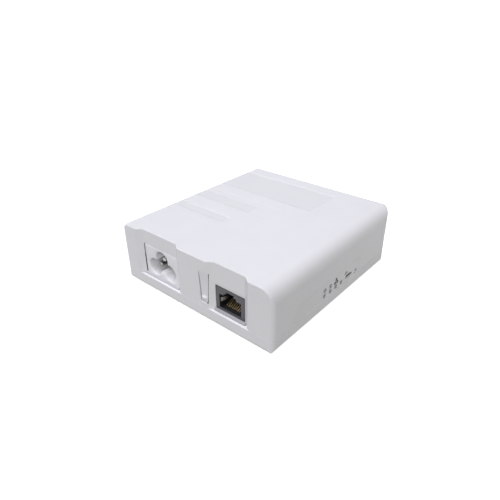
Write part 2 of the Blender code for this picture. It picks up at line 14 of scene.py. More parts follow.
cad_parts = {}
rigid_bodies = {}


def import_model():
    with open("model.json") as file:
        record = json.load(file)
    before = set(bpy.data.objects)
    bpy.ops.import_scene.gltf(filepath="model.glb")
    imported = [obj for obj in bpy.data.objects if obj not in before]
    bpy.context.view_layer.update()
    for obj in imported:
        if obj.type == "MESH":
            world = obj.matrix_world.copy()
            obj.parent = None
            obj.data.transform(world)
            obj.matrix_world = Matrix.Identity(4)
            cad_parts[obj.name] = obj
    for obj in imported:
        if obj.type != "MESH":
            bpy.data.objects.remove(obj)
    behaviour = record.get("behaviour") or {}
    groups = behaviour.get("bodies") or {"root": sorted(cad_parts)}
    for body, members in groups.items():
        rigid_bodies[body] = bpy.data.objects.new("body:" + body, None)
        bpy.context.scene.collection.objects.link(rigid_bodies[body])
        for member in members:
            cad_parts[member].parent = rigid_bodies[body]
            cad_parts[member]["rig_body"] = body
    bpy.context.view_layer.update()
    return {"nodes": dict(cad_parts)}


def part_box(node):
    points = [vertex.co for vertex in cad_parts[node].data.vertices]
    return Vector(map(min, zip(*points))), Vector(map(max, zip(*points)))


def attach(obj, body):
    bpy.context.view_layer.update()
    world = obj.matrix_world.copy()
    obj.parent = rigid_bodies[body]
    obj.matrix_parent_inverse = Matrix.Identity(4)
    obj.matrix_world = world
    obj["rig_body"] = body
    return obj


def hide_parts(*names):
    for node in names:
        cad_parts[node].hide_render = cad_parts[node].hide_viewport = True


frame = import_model()
NODES = frame["nodes"]
MM = 0.001


def cad(name):
    """Lowest and highest corners of a node, in millimetres."""
    lo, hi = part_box(name)
    return [v / MM for v in lo], [v / MM for v in hi]


# ------------------------------------------------------------------------------------------------------------------
# Materials
# ------------------------------------------------------------------------------------------------------------------


class Shader:
    """Small helper that wires a Principled material from object-space texture nodes."""

    def __init__(self, name, colour, roughness, metallic=0.0, **extra):
        self.mat = bpy.data.materials.new(name)
        self.mat.use_nodes = True
        self.mat.diffuse_color = (*colour, 1.0)
        self.t = self.mat.node_tree
        self.b = self.t.nodes["Principled BSDF"]
        self.colour = colour
        self.roughness = roughness
        self.b.inputs["Base Color"].default_value = (*colour, 1.0)
        self.b.inputs["Roughness"].default_value = roughness
        self.b.inputs["Metallic"].default_value = metallic
        for key, value in extra.items():
            self.b.inputs[key.replace("_", " ")].default_value = value
        self.coords = self.node("ShaderNodeTexCoord")
        self.space = self.coords.outputs["Object"]
        self.normal = None

    def node(self, kind, **settings):
        n = self.t.nodes.new(kind)
        for key, value in settings.items():
            setattr(n, key, value)
        return n

    def link(self, a, b):
        self.t.links.new(a, b)

    def noise(self, size_mm, detail=3.0, rough=0.55, stretch=None):
        """Noise whose blobs are about size_mm across, 0 to 1."""
        src = self.space
        if stretch is not None:
            m = self.node("ShaderNodeMapping")
            m.inputs["Scale"].default_value = stretch
            self.link(src, m.inputs["Vector"])
            src = m.outputs["Vector"]
        n = self.node("ShaderNodeTexNoise")
        n.inputs["Scale"].default_value = 1.0 / (size_mm * MM)
        n.inputs["Detail"].default_value = detail
        n.inputs["Roughness"].default_value = rough
        self.link(src, n.inputs["Vector"])
        return n.outputs["Fac"]

    def spread(self, fac, lo, hi, at=(0.3, 0.7)):
        m = self.node("ShaderNodeMapRange")
        m.inputs["From Min"].default_value, m.inputs["From Max"].default_value = at
        m.inputs["To Min"].default_value, m.inputs["To Max"].default_value = lo, hi
        self.link(fac, m.inputs["Value"])
        return m.outputs["Result"]

    def tint(self, fac, low, high, at=(0.3, 0.7)):
        """Base colour that moves between two shades of the body colour."""
        mix = self.node("ShaderNodeMix", data_type="RGBA")
        mix.inputs["A"].default_value = (*[c * low for c in self.colour], 1.0)
        mix.inputs["B"].default_value = (*[min(1.0, c * high) for c in self.colour], 1.0)
        self.link(self.spread(fac, 0.0, 1.0, at), mix.inputs["Factor"])
        self.link(mix.outputs["Result"], self.b.inputs["Base Color"])
        return self

    def shade(self, fac, colour, lo, hi):
        """Lays another colour over the base colour by a 0 to 1 pattern."""
        old = self.b.inputs["Base Color"]
        mix = self.node("ShaderNodeMix", data_type="RGBA")
        if old.links:
            src = old.links[0].from_socket
            self.link(src, mix.inputs["A"])
        else:
            mix.inputs["A"].default_value = old.default_value
        mix.inputs["B"].default_value = (*colour, 1.0)
        self.link(self.spread(fac, 0.0, 1.0, (lo, hi)), mix.inputs["Factor"])
        self.link(mix.outputs["Result"], old)
        return self

    def gloss(self, fac, lo, hi):
        self.link(self.spread(fac, lo, hi), self.b.inputs["Roughness"])
        return self

    def bump(self, fac, height_mm, strength=1.0):
        n = self.node("ShaderNodeBump")
        n.inputs["Strength"].default_value = strength
        n.inputs["Distance"].default_value = height_mm * MM
        self.link(fac, n.inputs["Height"])
        if self.normal is not None:
            self.link(self.normal, n.inputs["Normal"])
        self.normal = n.outputs["Normal"]
        self.link(self.normal, self.b.inputs["Normal"])
        return self


def moulded(name, colour, roughness, grain_mm=0.25, grain_height=0.003, variation=0.010, wave=0.003, **extra):
    """Injection-moulded plastic: spark-eroded grain, slow tone drift and slightly uneven gloss."""
    s = Shader(name, colour, roughness, **extra)
    s.tint(s.noise(14.0, 2.0), 1.0 - variation, 1.0 + variation)
    s.gloss(s.noise(3.5, 3.0), roughness - 0.035, roughness + 0.035)
    s.bump(s.noise(26.0, 1.0), wave)
    s.bump(s.noise(grain_mm, 4.0, 0.65), grain_height)
    return s.mat


def metal(name, colour, roughness, brush=(1.0, 1.0, 1.0), scratch=0.0015, spot=0.06, **extra):
    """Sheet or turned metal with fine drawing lines, uneven gloss and faint tarnish."""
    s = Shader(name, colour, roughness, 1.0, **extra)
    s.tint(s.noise(1.6, 4.0), 1.0 - spot, 1.0 + spot)
    s.gloss(s.noise(0.5, 3.0, stretch=brush), roughness - 0.06, roughness + 0.08)
    s.bump(s.noise(0.12, 3.0, stretch=brush), scratch)
    return s.mat


WHITE = (0.745, 0.746, 0.755)
# Painted shade: these greys stand in for the shade on the strips under the ports and on the left edge of the tongue's
# opening.
SHADE_GREY_PAINT = moulded("painted_shade_grey", (0.355, 0.355, 0.365), 0.55, IOR=1.50)
PALE_SHADE_PAINT = moulded("painted_shade_pale", (0.49, 0.49, 0.505), 0.55, IOR=1.50)
# Painted shade: near-black and mid grey for the gap beside the inlet, the edges of the tongue's opening and the
# tongue's right side.
GAP_SHADE_PAINT = moulded("painted_gap_shade", (0.07, 0.07, 0.072), 0.75, IOR=1.45)
GAP_SHADE_PAINT_SOFT = moulded("painted_gap_shade_soft", (0.38, 0.38, 0.385), 0.7, IOR=1.45)
SHELL = moulded("shell_white", WHITE, 0.40, Specular_IOR_Level=0.30, IOR=1.50)
# Top recess floors: finer grain and a little more gloss, and a slightly darker tone that is painted shade.
BAR_SHADE_TONE = moulded("shell_bar_white_painted_shade", tuple(c * 0.965 for c in WHITE), 0.34, grain_mm=0.12, grain_height=0.003, Specular_IOR_Level=0.30, IOR=1.50)
PANEL = moulded("shell_panel_white", tuple(c * 0.965 for c in WHITE), 0.36, grain_mm=0.12, grain_height=0.003, Specular_IOR_Level=0.30, IOR=1.50)
TRAY = moulded("tray_white", tuple(c * 0.985 for c in WHITE), 0.42, Specular_IOR_Level=0.30, IOR=1.50)
# Painted highlight: a brighter white for the rim walls under the pockets, in place of the light they catch; it also
# has a little more gloss.
LEDGE_HIGHLIGHT_PAINT = moulded("ledge_painted_highlight", (0.86, 0.86, 0.88), 0.30, grain_height=0.0015, IOR=1.50)


def inlet_plastic():
    """Smooth moulding whose cavity turns to a darker grey towards its bottom: painted shade deep in the cavity."""
    s = Shader("inlet_white", (0.765, 0.765, 0.78), 0.30, IOR=1.52)
    s.tint(s.noise(14.0, 2.0), 0.99, 1.01)
    split = s.node("ShaderNodeSeparateXYZ")
    s.link(s.space, split.inputs["Vector"])
    # Painted shade: the colour darkens with depth into the cavity.
    s.shade(split.outputs["Y"], (0.38, 0.38, 0.385), -44.8 * MM, -37.0 * MM)
    s.bump(s.noise(26.0, 1.0), 0.006)
    s.bump(s.noise(0.5, 4.0, 0.65), 0.0025)
    return s.mat


INLET = inlet_plastic()
NICKEL = metal("pin_nickel", (0.40, 0.395, 0.39), 0.14, (1.0, 0.15, 1.0), 0.001)
TIN = metal("shield_tin", (0.088, 0.086, 0.090), 0.36, (1.0, 1.0, 0.2), 0.0015)
# Painted shade: a near-black metal for the micro-USB can, in place of the shade inside the side opening.
USB_SHADE_METAL = metal("usb_can_painted_shade", (0.035, 0.034, 0.033), 0.42, (1.0, 1.0, 0.2), 0.0015)
# Painted light: the shield's folded fingers take a much lighter copy of the shield tin, for the light they catch.
TIN_PAINTED_LIGHT = metal("shield_finger_tin_painted_light", (0.46, 0.45, 0.44), 0.44, (0.2, 1.0, 1.0), 0.0015)
GOLD = metal("contact_gold", (1.0, 0.76, 0.44), 0.40, (1.0, 0.2, 1.0), 0.001)
BLACK = moulded("socket_black", (0.012, 0.012, 0.013), 0.42, grain_mm=0.3, grain_height=0.006, variation=0.15)
BUTTON = moulded("button_grey", (0.16, 0.16, 0.165), 0.45, grain_mm=0.15, grain_height=0.006, variation=0.04)
INK = moulded("print_grey", (0.010, 0.010, 0.011), 0.55, grain_mm=0.10, grain_height=0.002, variation=0.12)
RUBBER = moulded("foot_rubber", (0.055, 0.055, 0.056), 0.78, grain_mm=0.35, grain_height=0.02, variation=0.08)
STEEL = metal("screw_steel", (0.52, 0.52, 0.54), 0.30, (1.0, 1.0, 0.3), 0.0015)


def lens():
    """Smoked light-guide window with fine vertical ribs moulded behind it."""
    s = Shader("lamp_lens", (0.085, 0.086, 0.088), 0.26, IOR=1.49)
    s.tint(s.noise(0.8, 2.0), 0.86, 1.16)
    w = s.node("ShaderNodeTexWave", wave_type="BANDS", bands_direction="Y")
    w.inputs["Scale"].default_value = 950.0
    w.inputs["Distortion"].default_value = 0.3
    s.link(s.space, w.inputs["Vector"])
    s.shade(w.outputs["Fac"], (0.22, 0.222, 0.225), 0.55, 1.0)
    s.bump(w.outputs["Fac"], 0.01)
    s.gloss(s.noise(0.3, 2.0), 0.20, 0.30)
    return s.mat


LENS = lens()

# ------------------------------------------------------------------------------------------------------------------
# Mesh helpers
# ------------------------------------------------------------------------------------------------------------------


def piece(name, verts, faces, material, body="housing", smooth_angle=None, slots=None, face_slots=None):
    """Mesh object from millimetre vertices."""
    me = bpy.data.meshes.new(name)
    me.from_pydata([tuple(float(c) * MM for c in v) for v in verts], [], [tuple(int(i) for i in f) for f in faces])
    me.validate()
    obj = bpy.data.objects.new(name, me)
    bpy.context.scene.collection.objects.link(obj)
    for m in (slots or [material]):
        me.materials.append(m)
    if face_slots is not None:
        me.polygons.foreach_set("material_index", np.asarray(face_slots, dtype=np.int32))
    if smooth_angle is not None:
        me.shade_smooth()
        me.set_sharp_from_angle(angle=math.radians(smooth_angle))
    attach(obj, body)
    return obj


def from_object(name, obj, material, body="housing", smooth_angle=35):
    """Applies an object's modifiers or curve settings into a plain mesh piece."""
    bpy.context.view_layer.update()
    deps = bpy.context.evaluated_depsgraph_get()
    me = bpy.data.meshes.new_from_object(obj.evaluated_get(deps), depsgraph=deps)
    me.transform(obj.matrix_world)
    new = bpy.data.objects.new(name, me)
    bpy.context.scene.collection.objects.link(new)
    bpy.data.objects.remove(obj, do_unlink=True)
    me.name = name
    me.materials.clear()
    me.materials.append(material)
    bm = bmesh.new()
    bm.from_mesh(me)
    bmesh.ops.remove_doubles(bm, verts=bm.verts, dist=1e-7)
    bmesh.ops.recalc_face_normals(bm, faces=bm.faces)
    bm.to_mesh(me)
    bm.free()
    me.shade_smooth()
    me.set_sharp_from_angle(angle=math.radians(smooth_angle))
    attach(new, body)
    return new


def plate(name, outlines, lo, hi, axis, material, edge=0.06, body="housing"):
    """Flat shape with holes and rounded edges between two coordinates on an axis, from outlines in millimetres.

    Axis Z takes (x, y) points, Y takes (x, z) and X takes (y, z).
    """
    cu = bpy.data.curves.new(name, "CURVE")
    cu.dimensions = "2D"
    cu.fill_mode = "BOTH"
    cu.extrude = max((hi - lo) / 2 - edge, 0.0) * MM
    cu.bevel_depth = edge * MM
    cu.bevel_resolution = 2
    cu.offset = -edge * MM
    for pts in outlines:
        sp = cu.splines.new("POLY")
        sp.points.add(len(pts) - 1)
        for p, (u, v) in zip(sp.points, pts):
            p.co = (u * MM, v * MM, 0.0, 1.0)
        sp.use_cyclic_u = True
    obj = bpy.data.objects.new(name + "_c", cu)
    bpy.context.scene.collection.objects.link(obj)
    mid = (lo + hi) / 2 * MM
    obj.location = {"Z": (0, 0, mid), "Y": (0, mid, 0), "X": (mid, 0, 0)}[axis]
    obj.rotation_euler = {"Z": (0, 0, 0), "Y": (math.pi / 2, 0, 0), "X": (math.pi / 2, 0, math.pi / 2)}[axis]
    return from_object(name, obj, material, body)


def wire(name, paths, radius, material, body="housing", sides=8, bend=0.0):
    """Round wires along millimetre paths, as one mesh with filled ends."""
    cu = bpy.data.curves.new(name, "CURVE")
    cu.dimensions = "3D"
    cu.bevel_depth = radius * MM
    cu.bevel_resolution = max(1, sides // 2 - 2)
    cu.use_fill_caps = True
    cu.resolution_u = 6
    for path in paths:
        sp = cu.splines.new("BEZIER")
        sp.bezier_points.add(len(path) - 1)
        for p, co in zip(sp.bezier_points, path):
            p.co = Vector(co) * MM
            p.handle_left_type = p.handle_right_type = "AUTO"
    obj = bpy.data.objects.new(name + "_c", cu)
    bpy.context.scene.collection.objects.link(obj)
    return from_object(name, obj, material, body, 60)


def lathe(name, profile, at, axis, material, body="housing", steps=40, smooth_angle=35):
    """Turned piece: (radius, height) points along an axis, in millimetres, with the ends on the axis."""
    verts, faces = [], []
    ring_at = []
    for r, h in profile:
        if r < 1e-6:
            ring_at.append([len(verts)])
            verts.append((0.0, 0.0, h))
        else:
            ring_at.append(list(range(len(verts), len(verts) + steps)))
            for i in range(steps):
                a = 2 * math.pi * i / steps
                verts.append((r * math.cos(a), r * math.sin(a), h))
    for a, b in zip(ring_at, ring_at[1:]):
        for i in range(steps):
            j = (i + 1) % steps
            if len(a) == 1:
                faces.append((a[0], b[i], b[j]))
            elif len(b) == 1:
                faces.append((a[i], b[0], a[j]))
            else:
                faces.append((a[i], b[i], b[j], a[j]))
    turn = {"Z": Matrix.Identity(3), "X": Matrix.Rotation(math.pi / 2, 3, "Y"), "Y": Matrix.Rotation(-math.pi / 2, 3, "X")}[axis]
    verts = [turn @ Vector(v) + Vector(at) for v in verts]
    obj = piece(name, verts, faces, material, body)
    bm = bmesh.new()
    bm.from_mesh(obj.data)
    bmesh.ops.recalc_face_normals(bm, faces=bm.faces)
    bm.to_mesh(obj.data)
    bm.free()
    obj.data.shade_smooth()
    obj.data.set_sharp_from_angle(angle=math.radians(smooth_angle))
    return obj


def block(name, lo, hi, material, edge=0.1, body="housing", segments=3):
    """Box with rounded edges."""
    bm = bmesh.new()
    bmesh.ops.create_cube(bm, size=1.0)
    size = Vector(hi) - Vector(lo)
    bmesh.ops.scale(bm, vec=size * MM, verts=bm.verts)
    bmesh.ops.translate(bm, vec=(Vector(hi) + Vector(lo)) / 2 * MM, verts=bm.verts)
    bmesh.ops.bevel(bm, geom=bm.edges[:] + bm.verts[:], offset=edge * MM, segments=segments, profile=0.5, affect="EDGES")
    me = bpy.data.meshes.new(name)
    bm.to_mesh(me)
    bm.free()
    obj = bpy.data.objects.new(name, me)
    bpy.context.scene.collection.objects.link(obj)
    me.materials.append(material)
    me.shade_smooth()
    me.set_sharp_from_angle(angle=math.radians(50))
    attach(obj, body)
    return obj


def join_pieces(name, objs):
    """Several meshes on one body become one piece."""
    bm = bmesh.new()
    mats = []
    for o in objs:
        start = len(bm.faces)
        bm.from_mesh(o.data)
        bm.faces.ensure_lookup_table()
        own = list(o.data.materials)
        for m in own:
            if m not in mats:
                mats.append(m)
        for f in bm.faces[start:]:
            f.material_index = mats.index(own[f.material_index])
    body = objs[0]["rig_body"]
    for o in objs:
        bpy.data.objects.remove(o, do_unlink=True)
    me = bpy.data.meshes.new(name)
    bm.to_mesh(me)
    bm.free()
    for m in mats:
        me.materials.append(m)
    obj = bpy.data.objects.new(name, me)
    bpy.context.scene.collection.objects.link(obj)
    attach(obj, body)
    return obj


def bevel_node(name, width, segments=2, angle=40):
    """Rounds the edges of a node that keeps its own shape."""
    m = NODES[name].modifiers.new("edges", "BEVEL")
    m.width = width * MM
    m.segments = segments
    m.limit_method = "ANGLE"
    m.angle_limit = math.radians(angle)
    m.use_clamp_overlap = True
    m.harden_normals = True


def finish(names, material):
    for n in names:
        o = NODES[n]
        o.data.materials.clear()
        o.data.materials.append(material)


# ------------------------------------------------------------------------------------------------------------------
# Housing form
# ------------------------------------------------------------------------------------------------------------------
(SX0, SY0, SZ0), (SX1, SY1, SZ1) = cad("upper_shell")
(TX0, TY0, TZ0), (TX1, TY1, TZ1) = cad("base_tray")
HW, HD = SX1, SY1                         # half width and half depth
BOTTOM, TOP = TZ0, SZ1
SEAM = 7.4
SEAM_GAP = 0.06
SHELL_LOW, TRAY_HIGH = SEAM + SEAM_GAP / 2, SEAM - SEAM_GAP / 2
SEAM_R = 0.12
PLAN_R = (1.3, 2.6, 8.2, 6.0)             # front left, front right, rear right, rear left
FRONT_R = (3.4, 3.0, 6.5, 2.6)            # low left, low right, top right, top left
TIP_CUT, TIP_BLEND = 1.35, 0.8
SIDE_R = (2.4, 2.0, 1.8, 0.3)             # low front, low rear, top rear, top front

POCKET_DEPTH = 2.25
POCKETS = ((10.9, 36.3), (56.4, 76.0))
POCKET_SLOPE = 2.2

(IX0, IY0, IZ0), (IX1, IY1, IZ1) = cad("inlet_body")
(JX0, JY0, JZ0), (JX1, JY1, JZ1) = cad("jack_shield")
(LX0, LY0, LZ0), (LX1, LY1, LZ1) = cad("latch_tongue")
JZ0 = 8.45                                 # lower face of the shield, above its solder legs
INLET_X, JACK_X, TONGUE_X = (IX0 + IX1) / 2, (JX0 + JX1) / 2, (LX0 + LX1) / 2
LOBE_R, LOBE_X, LOBE_Z, EARTH_Z = 4.0, 5.0, 13.0, 18.15
GAP = 0.3

PANEL_Y, PANEL_TOP, PANEL_DEPTH, PANEL_R = (-34.5, 20.2), 15.5, 0.25, 3.6
LAMP_Y = [-12.1 + 4.7 * i for i in range(4)]
LAMP_Z = 9.2
USB_Y, USB_Z = 9.5, 9.8
RESET_Y, RESET_Z = 15.6, 9.3

# recesses in the top: (rear-front span, right end, depth); their slope width is BAR_SLOPE
BARS = ((-18.85, -13.25, -9.5, 0.20), (-3.25, 4.8, -6.4, 0.20), (17.3, 40.2, 16.2, 0.22))
STEP = (-3.25, 8.8, 4.8, 0.07)            # the very shallow field that runs on from the middle recess
BAR_SLOPE = 0.8


def rr(u, v, hu, v0, v1, radii):
    """Signed distance to the rectangle |u| < hu, v0 < v < v1 with a radius for each corner."""
    cv, hv = (v0 + v1) / 2, (v1 - v0) / 2
    b = v - cv
    r = np.where(u >= 0, np.where(b >= 0, radii[2], radii[1]), np.where(b >= 0, radii[3], radii[0]))
    qx, qy = np.abs(u) - hu + r, np.abs(b) - hv + r
    return np.minimum(np.maximum(qx, qy), 0.0) + np.hypot(np.maximum(qx, 0.0), np.maximum(qy, 0.0)) - r


def rect(u, v, u0, u1, v0, v1, r):
    """Signed distance to a rectangle with one corner radius."""
    qx, qy = np.abs(u - (u0 + u1) / 2) - (u1 - u0) / 2 + r, np.abs(v - (v0 + v1) / 2) - (v1 - v0) / 2 + r
    return np.minimum(np.maximum(qx, qy), 0.0) + np.hypot(np.maximum(qx, 0.0), np.maximum(qy, 0.0)) - r


def solid(p):
    """Signed distance to the plain housing form, the common part of its three profiles."""
    x, y, z = p[:, 0], p[:, 1], p[:, 2]
    d = np.maximum(rr(x, y, HW, -HD, HD, PLAN_R),
                   np.maximum(rr(x, z, HW, BOTTOM, TOP, FRONT_R), rr(y, z, HD, BOTTOM, TOP, SIDE_R)))
    # the upper front left corner is rounded off a little more than its three edges
    tip = (z - TOP - x - HW - y - HD) / math.sqrt(3) + TIP_CUT
    return np.maximum(d, tip) + np.maximum(TIP_BLEND - np.abs(d - tip), 0) ** 2 / (4 * TIP_BLEND)


def ease(t):
    return (1 - np.cos(np.pi * np.clip(t, 0, 1))) / 2


def pocket_depth(x):
    d = np.zeros_like(x)
    for left, right in POCKETS:
        a = ease((x + HW - left) / (2 * POCKET_SLOPE) + 0.5)
        b = ease((x + HW - right) / (2 * POCKET_SLOPE) + 0.5)
        d += POCKET_DEPTH * (a - b)
    return d


def level(p, depth):
    """Moves points of the enclosing box onto the housing form, or onto the form moved in by depth."""
    q = np.empty_like(p)
    q[:, 0] = np.clip(p[:, 0], -HW + 9, HW - 9)
    q[:, 1] = np.clip(p[:, 1], -HD + 9, HD - 9)
    q[:, 2] = np.clip(p[:, 2], BOTTOM + 3.5, TOP - 7.0)
    lo, hi = np.zeros(len(p)), np.ones(len(p))
    for _ in range(36):
        mid = (lo + hi) / 2
        inside = solid(q + (p - q) * mid[:, None]) < -depth - 1e-7
        lo, hi = np.where(inside, mid, lo), np.where(inside, hi, mid)
    return q + (p - q) * hi[:, None]


def grid(lo, hi, step, exact, zones=()):
    """Sorted grid lines: exact positions are kept, zone lines are kept where they crowd nothing, gaps are filled."""
    keep = sorted(set([lo, hi] + [round(e, 4) for e in exact if lo < e < hi]))
    pts = list(keep)
    for z in sorted(zones):
        if lo < z < hi and min(abs(z - p) for p in pts) > 0.11:
            pts.append(z)
    pts.sort()
    out = [pts[0]]
    for a, b in zip(pts, pts[1:]):
        n = max(1, math.ceil((b - a) / step - 1e-6))
        out += [a + (b - a) * (i + 1) / n for i in range(n)]
    return np.array(out)


def corner_lines(edge, inward, last):
    """Lines that crowd towards a rounded edge."""
    d, step = 0.0, 0.07
    out = []
    while d < last:
        out.append(edge + inward * d)
        d += step
        step *= 1.17
    return out


def around(edges, fillet):
    """Lines on both sides of hole borders, for a fillet of the given radius."""
    out = []
    for e, side in edges:
        out += [e + side * fillet * k for k in (0.0, 0.22, 0.55, 1.0)]
    return out


class Lattice:
    """Surface of a box split by grid lines, without its lid or without its floor."""

    def __init__(self, X, Y, Z, lid, floor):
        self.X, self.Y, self.Z = X, Y, Z
        nx, ny, nz = len(X) - 1, len(Y) - 1, len(Z) - 1
        idx = -np.ones((nx + 1, ny + 1, nz + 1), dtype=np.int64)
        on = np.zeros_like(idx, dtype=bool)
        on[0], on[nx], on[:, 0], on[:, ny] = True, True, True, True
        if lid:
            on[:, :, nz] = True
        if floor:
            on[:, :, 0] = True
        idx[on] = np.arange(on.sum())
        i, j, k = np.nonzero(on)
        self.i, self.j, self.k = i, j, k
        self.p = np.stack([X[i], Y[j], Z[k]], axis=1)
        faces, side, centre = [], [], []

        def add(a, b, c, d, name, u, v):
            q = np.stack([a, b, c, d], axis=-1).reshape(-1, 4)
            faces.append(q)
            side.append(np.full(len(q), name))
            centre.append(np.stack(np.meshgrid((u[1:] + u[:-1]) / 2, (v[1:] + v[:-1]) / 2, indexing="ij"), -1).reshape(-1, 2))

        f = idx[:, 0, :]
        add(f[:-1, :-1], f[1:, :-1], f[1:, 1:], f[:-1, 1:], 0, X, Z)
        f = idx[:, ny, :]
        add(f[:-1, :-1], f[:-1, 1:], f[1:, 1:], f[1:, :-1], 1, X, Z)
        f = idx[nx]
        add(f[:-1, :-1], f[1:, :-1], f[1:, 1:], f[:-1, 1:], 2, Y, Z)
        f = idx[0]
        add(f[:-1, :-1], f[:-1, 1:], f[1:, 1:], f[1:, :-1], 3, Y, Z)
        if lid:
            f = idx[:, :, nz]
            add(f[:-1, :-1], f[1:, :-1], f[1:, 1:], f[:-1, 1:], 4, X, Y)
        if floor:
            f = idx[:, :, 0]
            add(f[:-1, :-1], f[:-1, 1:], f[1:, 1:], f[1:, :-1], 5, X, Y)
        self.faces, self.side, self.centre = np.concatenate(faces), np.concatenate(side), np.concatenate(centre)


def closed(outer, inner, faces, keep):
    """Outer skin, reversed inner skin, and walls between their open borders. Returns vertices, faces and how many
    faces belong to the outer skin."""
    kept = faces[keep]
    n = len(outer)
    edges = {}
    for q in kept:
        for a, b in ((q[0], q[1]), (q[1], q[2]), (q[2], q[3]), (q[3], q[0])):
            edges[(int(a), int(b))] = True
    walls = [(b, a, a + n, b + n) for (a, b) in edges if (b, a) not in edges]
    return np.concatenate([outer, inner]), kept, kept[:, ::-1] + n, walls


def fillet_drop(d, r):
    """How far a fillet of radius r has dropped at distance d from the border of a hole."""
    t = np.clip(1 - d / r, 0, 1)
    return r - np.sqrt(np.maximum(r * r - (t * r) ** 2, 0.0))


def square_to_round(u, v, box, r):
    """Pulls grid points near a rectangle's corners onto its corner arcs."""
    u0, u1, v0, v1 = box
    cu, cv, a, b = (u0 + u1) / 2, (v0 + v1) / 2, (u1 - u0) / 2, (v1 - v0) / 2
    qu, qv = np.abs(u - cu) - (a - r), np.abs(v - cv) - (b - r)
    m = np.maximum(qu, qv)
    length = np.hypot(qu, qv)
    near = (qu > 0) & (qv > 0) & (m < 2.2 * r)
    w = np.clip((2.2 * r - m) / (1.2 * r), 0, 1)
    s = np.where(near, 1 - w + w * m / np.maximum(length, 1e-9), 1.0)
    nu = np.where(near, cu + np.sign(u - cu) * ((a - r) + qu * s), u)
    nv = np.where(near, cv + np.sign(v - cv) * ((b - r) + qv * s), v)
    return nu, nv


# --- upper shell ---------------------------------------------------------------------------------------------------
SLOT_TOP, SLOT_LOW = 2.80, 2.10            # half width of the tongue's opening at its top and its bottom
FRONT_HOLES = {                            # x0, x1, z0, z1, corner radius, fillet
    "inlet": (IX0 - 0.45, IX1 + 0.04, SZ0 - 1, IZ1 + 0.05, 0.8, 0.07),
    "jack": (JX0 - 0.10, JX1 + 0.10, SZ0 - 1, JZ1 + 0.10, 0.35, 0.12),
    "tongue": (TONGUE_X - SLOT_TOP, TONGUE_X + SLOT_TOP, LZ0 - 0.45, LZ1 + 0.01, 0.45, 0.07),
}
SIDE_HOLES = {}                            # y0, y1, z0, z1, corner radius, fillet
for n, y in enumerate(LAMP_Y):
    SIDE_HOLES["lamp_%d" % n] = (y - 1.08, y + 1.08, LAMP_Z - 1.0, LAMP_Z + 1.0, 0.22, 0.05)
SIDE_HOLES["usb"] = (USB_Y - 3.5, USB_Y + 3.6, USB_Z - 0.85, USB_Z + 0.8, 0.5, 0.30)
SIDE_HOLES["reset"] = (RESET_Y - 1.0, RESET_Y + 1.0, RESET_Z - 1.0, RESET_Z + 1.0, 1.0, 0.08)


def hole_lines(holes, which):
    out = []
    for x0, x1, z0, z1, r, f in holes.values():
        a, b = (x0, x1) if which == 0 else (z0, z1)
        out += around(((a, -1), (b, 1)), f)
        for k in ((0.35, 0.7, 1.0) if r < 1 else (0.15, 0.32, 0.5, 0.72, 1.0)):
            out += [a + r * k, b - r * k]
    return out


slopes = []
for pair in POCKETS:
    for c in pair:
        slopes += list(c - HW + np.linspace(-POCKET_SLOPE, POCKET_SLOPE, 15))
bar_x, bar_y = [], []
for y0, y1, x1, depth in BARS + (STEP,):
    k = BAR_SLOPE / 2
    bar_x += [x1 - k, x1 - k / 2, x1, x1 + k / 2, x1 + k, x1 - 0.9, x1 - 1.4]
    for e in (y0, y1):
        bar_y += [e - k, e - k / 2, e, e + k / 2, e + k]
    bar_y += [y0 + 0.9, y1 - 0.9, y0 + 1.4, y1 - 1.4]
panel_y = []
for e, s in ((PANEL_Y[0], 1), (PANEL_Y[1], -1)):
    panel_y += [e - 0.25, e - 0.12, e, e + 0.12, e + 0.25] + [e + s * k for k in (0.6, 1.0, 1.5, 2.0, 2.6, 3.2, 3.8)]
panel_z = [SHELL_LOW + k for k in (0.2, 0.3, 0.4, 0.5, 0.6, 0.7)] + [PANEL_TOP + k for k in (-0.25, -0.12, 0, 0.12, 0.25, -0.7, -1.0, -1.5, -2.0, -2.6, -3.2, -3.8)]

X = grid(-HW, HW, 3.0, hole_lines(FRONT_HOLES, 0),
         slopes + bar_x + corner_lines(-HW, 1, 7.0) + corner_lines(HW, -1, 9.2))
Y = grid(-HD, HD, 3.0, hole_lines(SIDE_HOLES, 0),
         panel_y + bar_y + corner_lines(-HD, 1, 4.0) + corner_lines(HD, -1, 9.2))
Z = grid(SHELL_LOW, TOP, 2.6, hole_lines(FRONT_HOLES, 1) + hole_lines(SIDE_HOLES, 1) + [SHELL_LOW + SEAM_R * k for k in (0.25, 0.55, 1.0)],
         panel_z + corner_lines(TOP, -1, 7.4))
lat = Lattice(X, Y, Z, lid=True, floor=False)
outer = level(lat.p, 0.0)
inner = level(lat.p, 2.0)

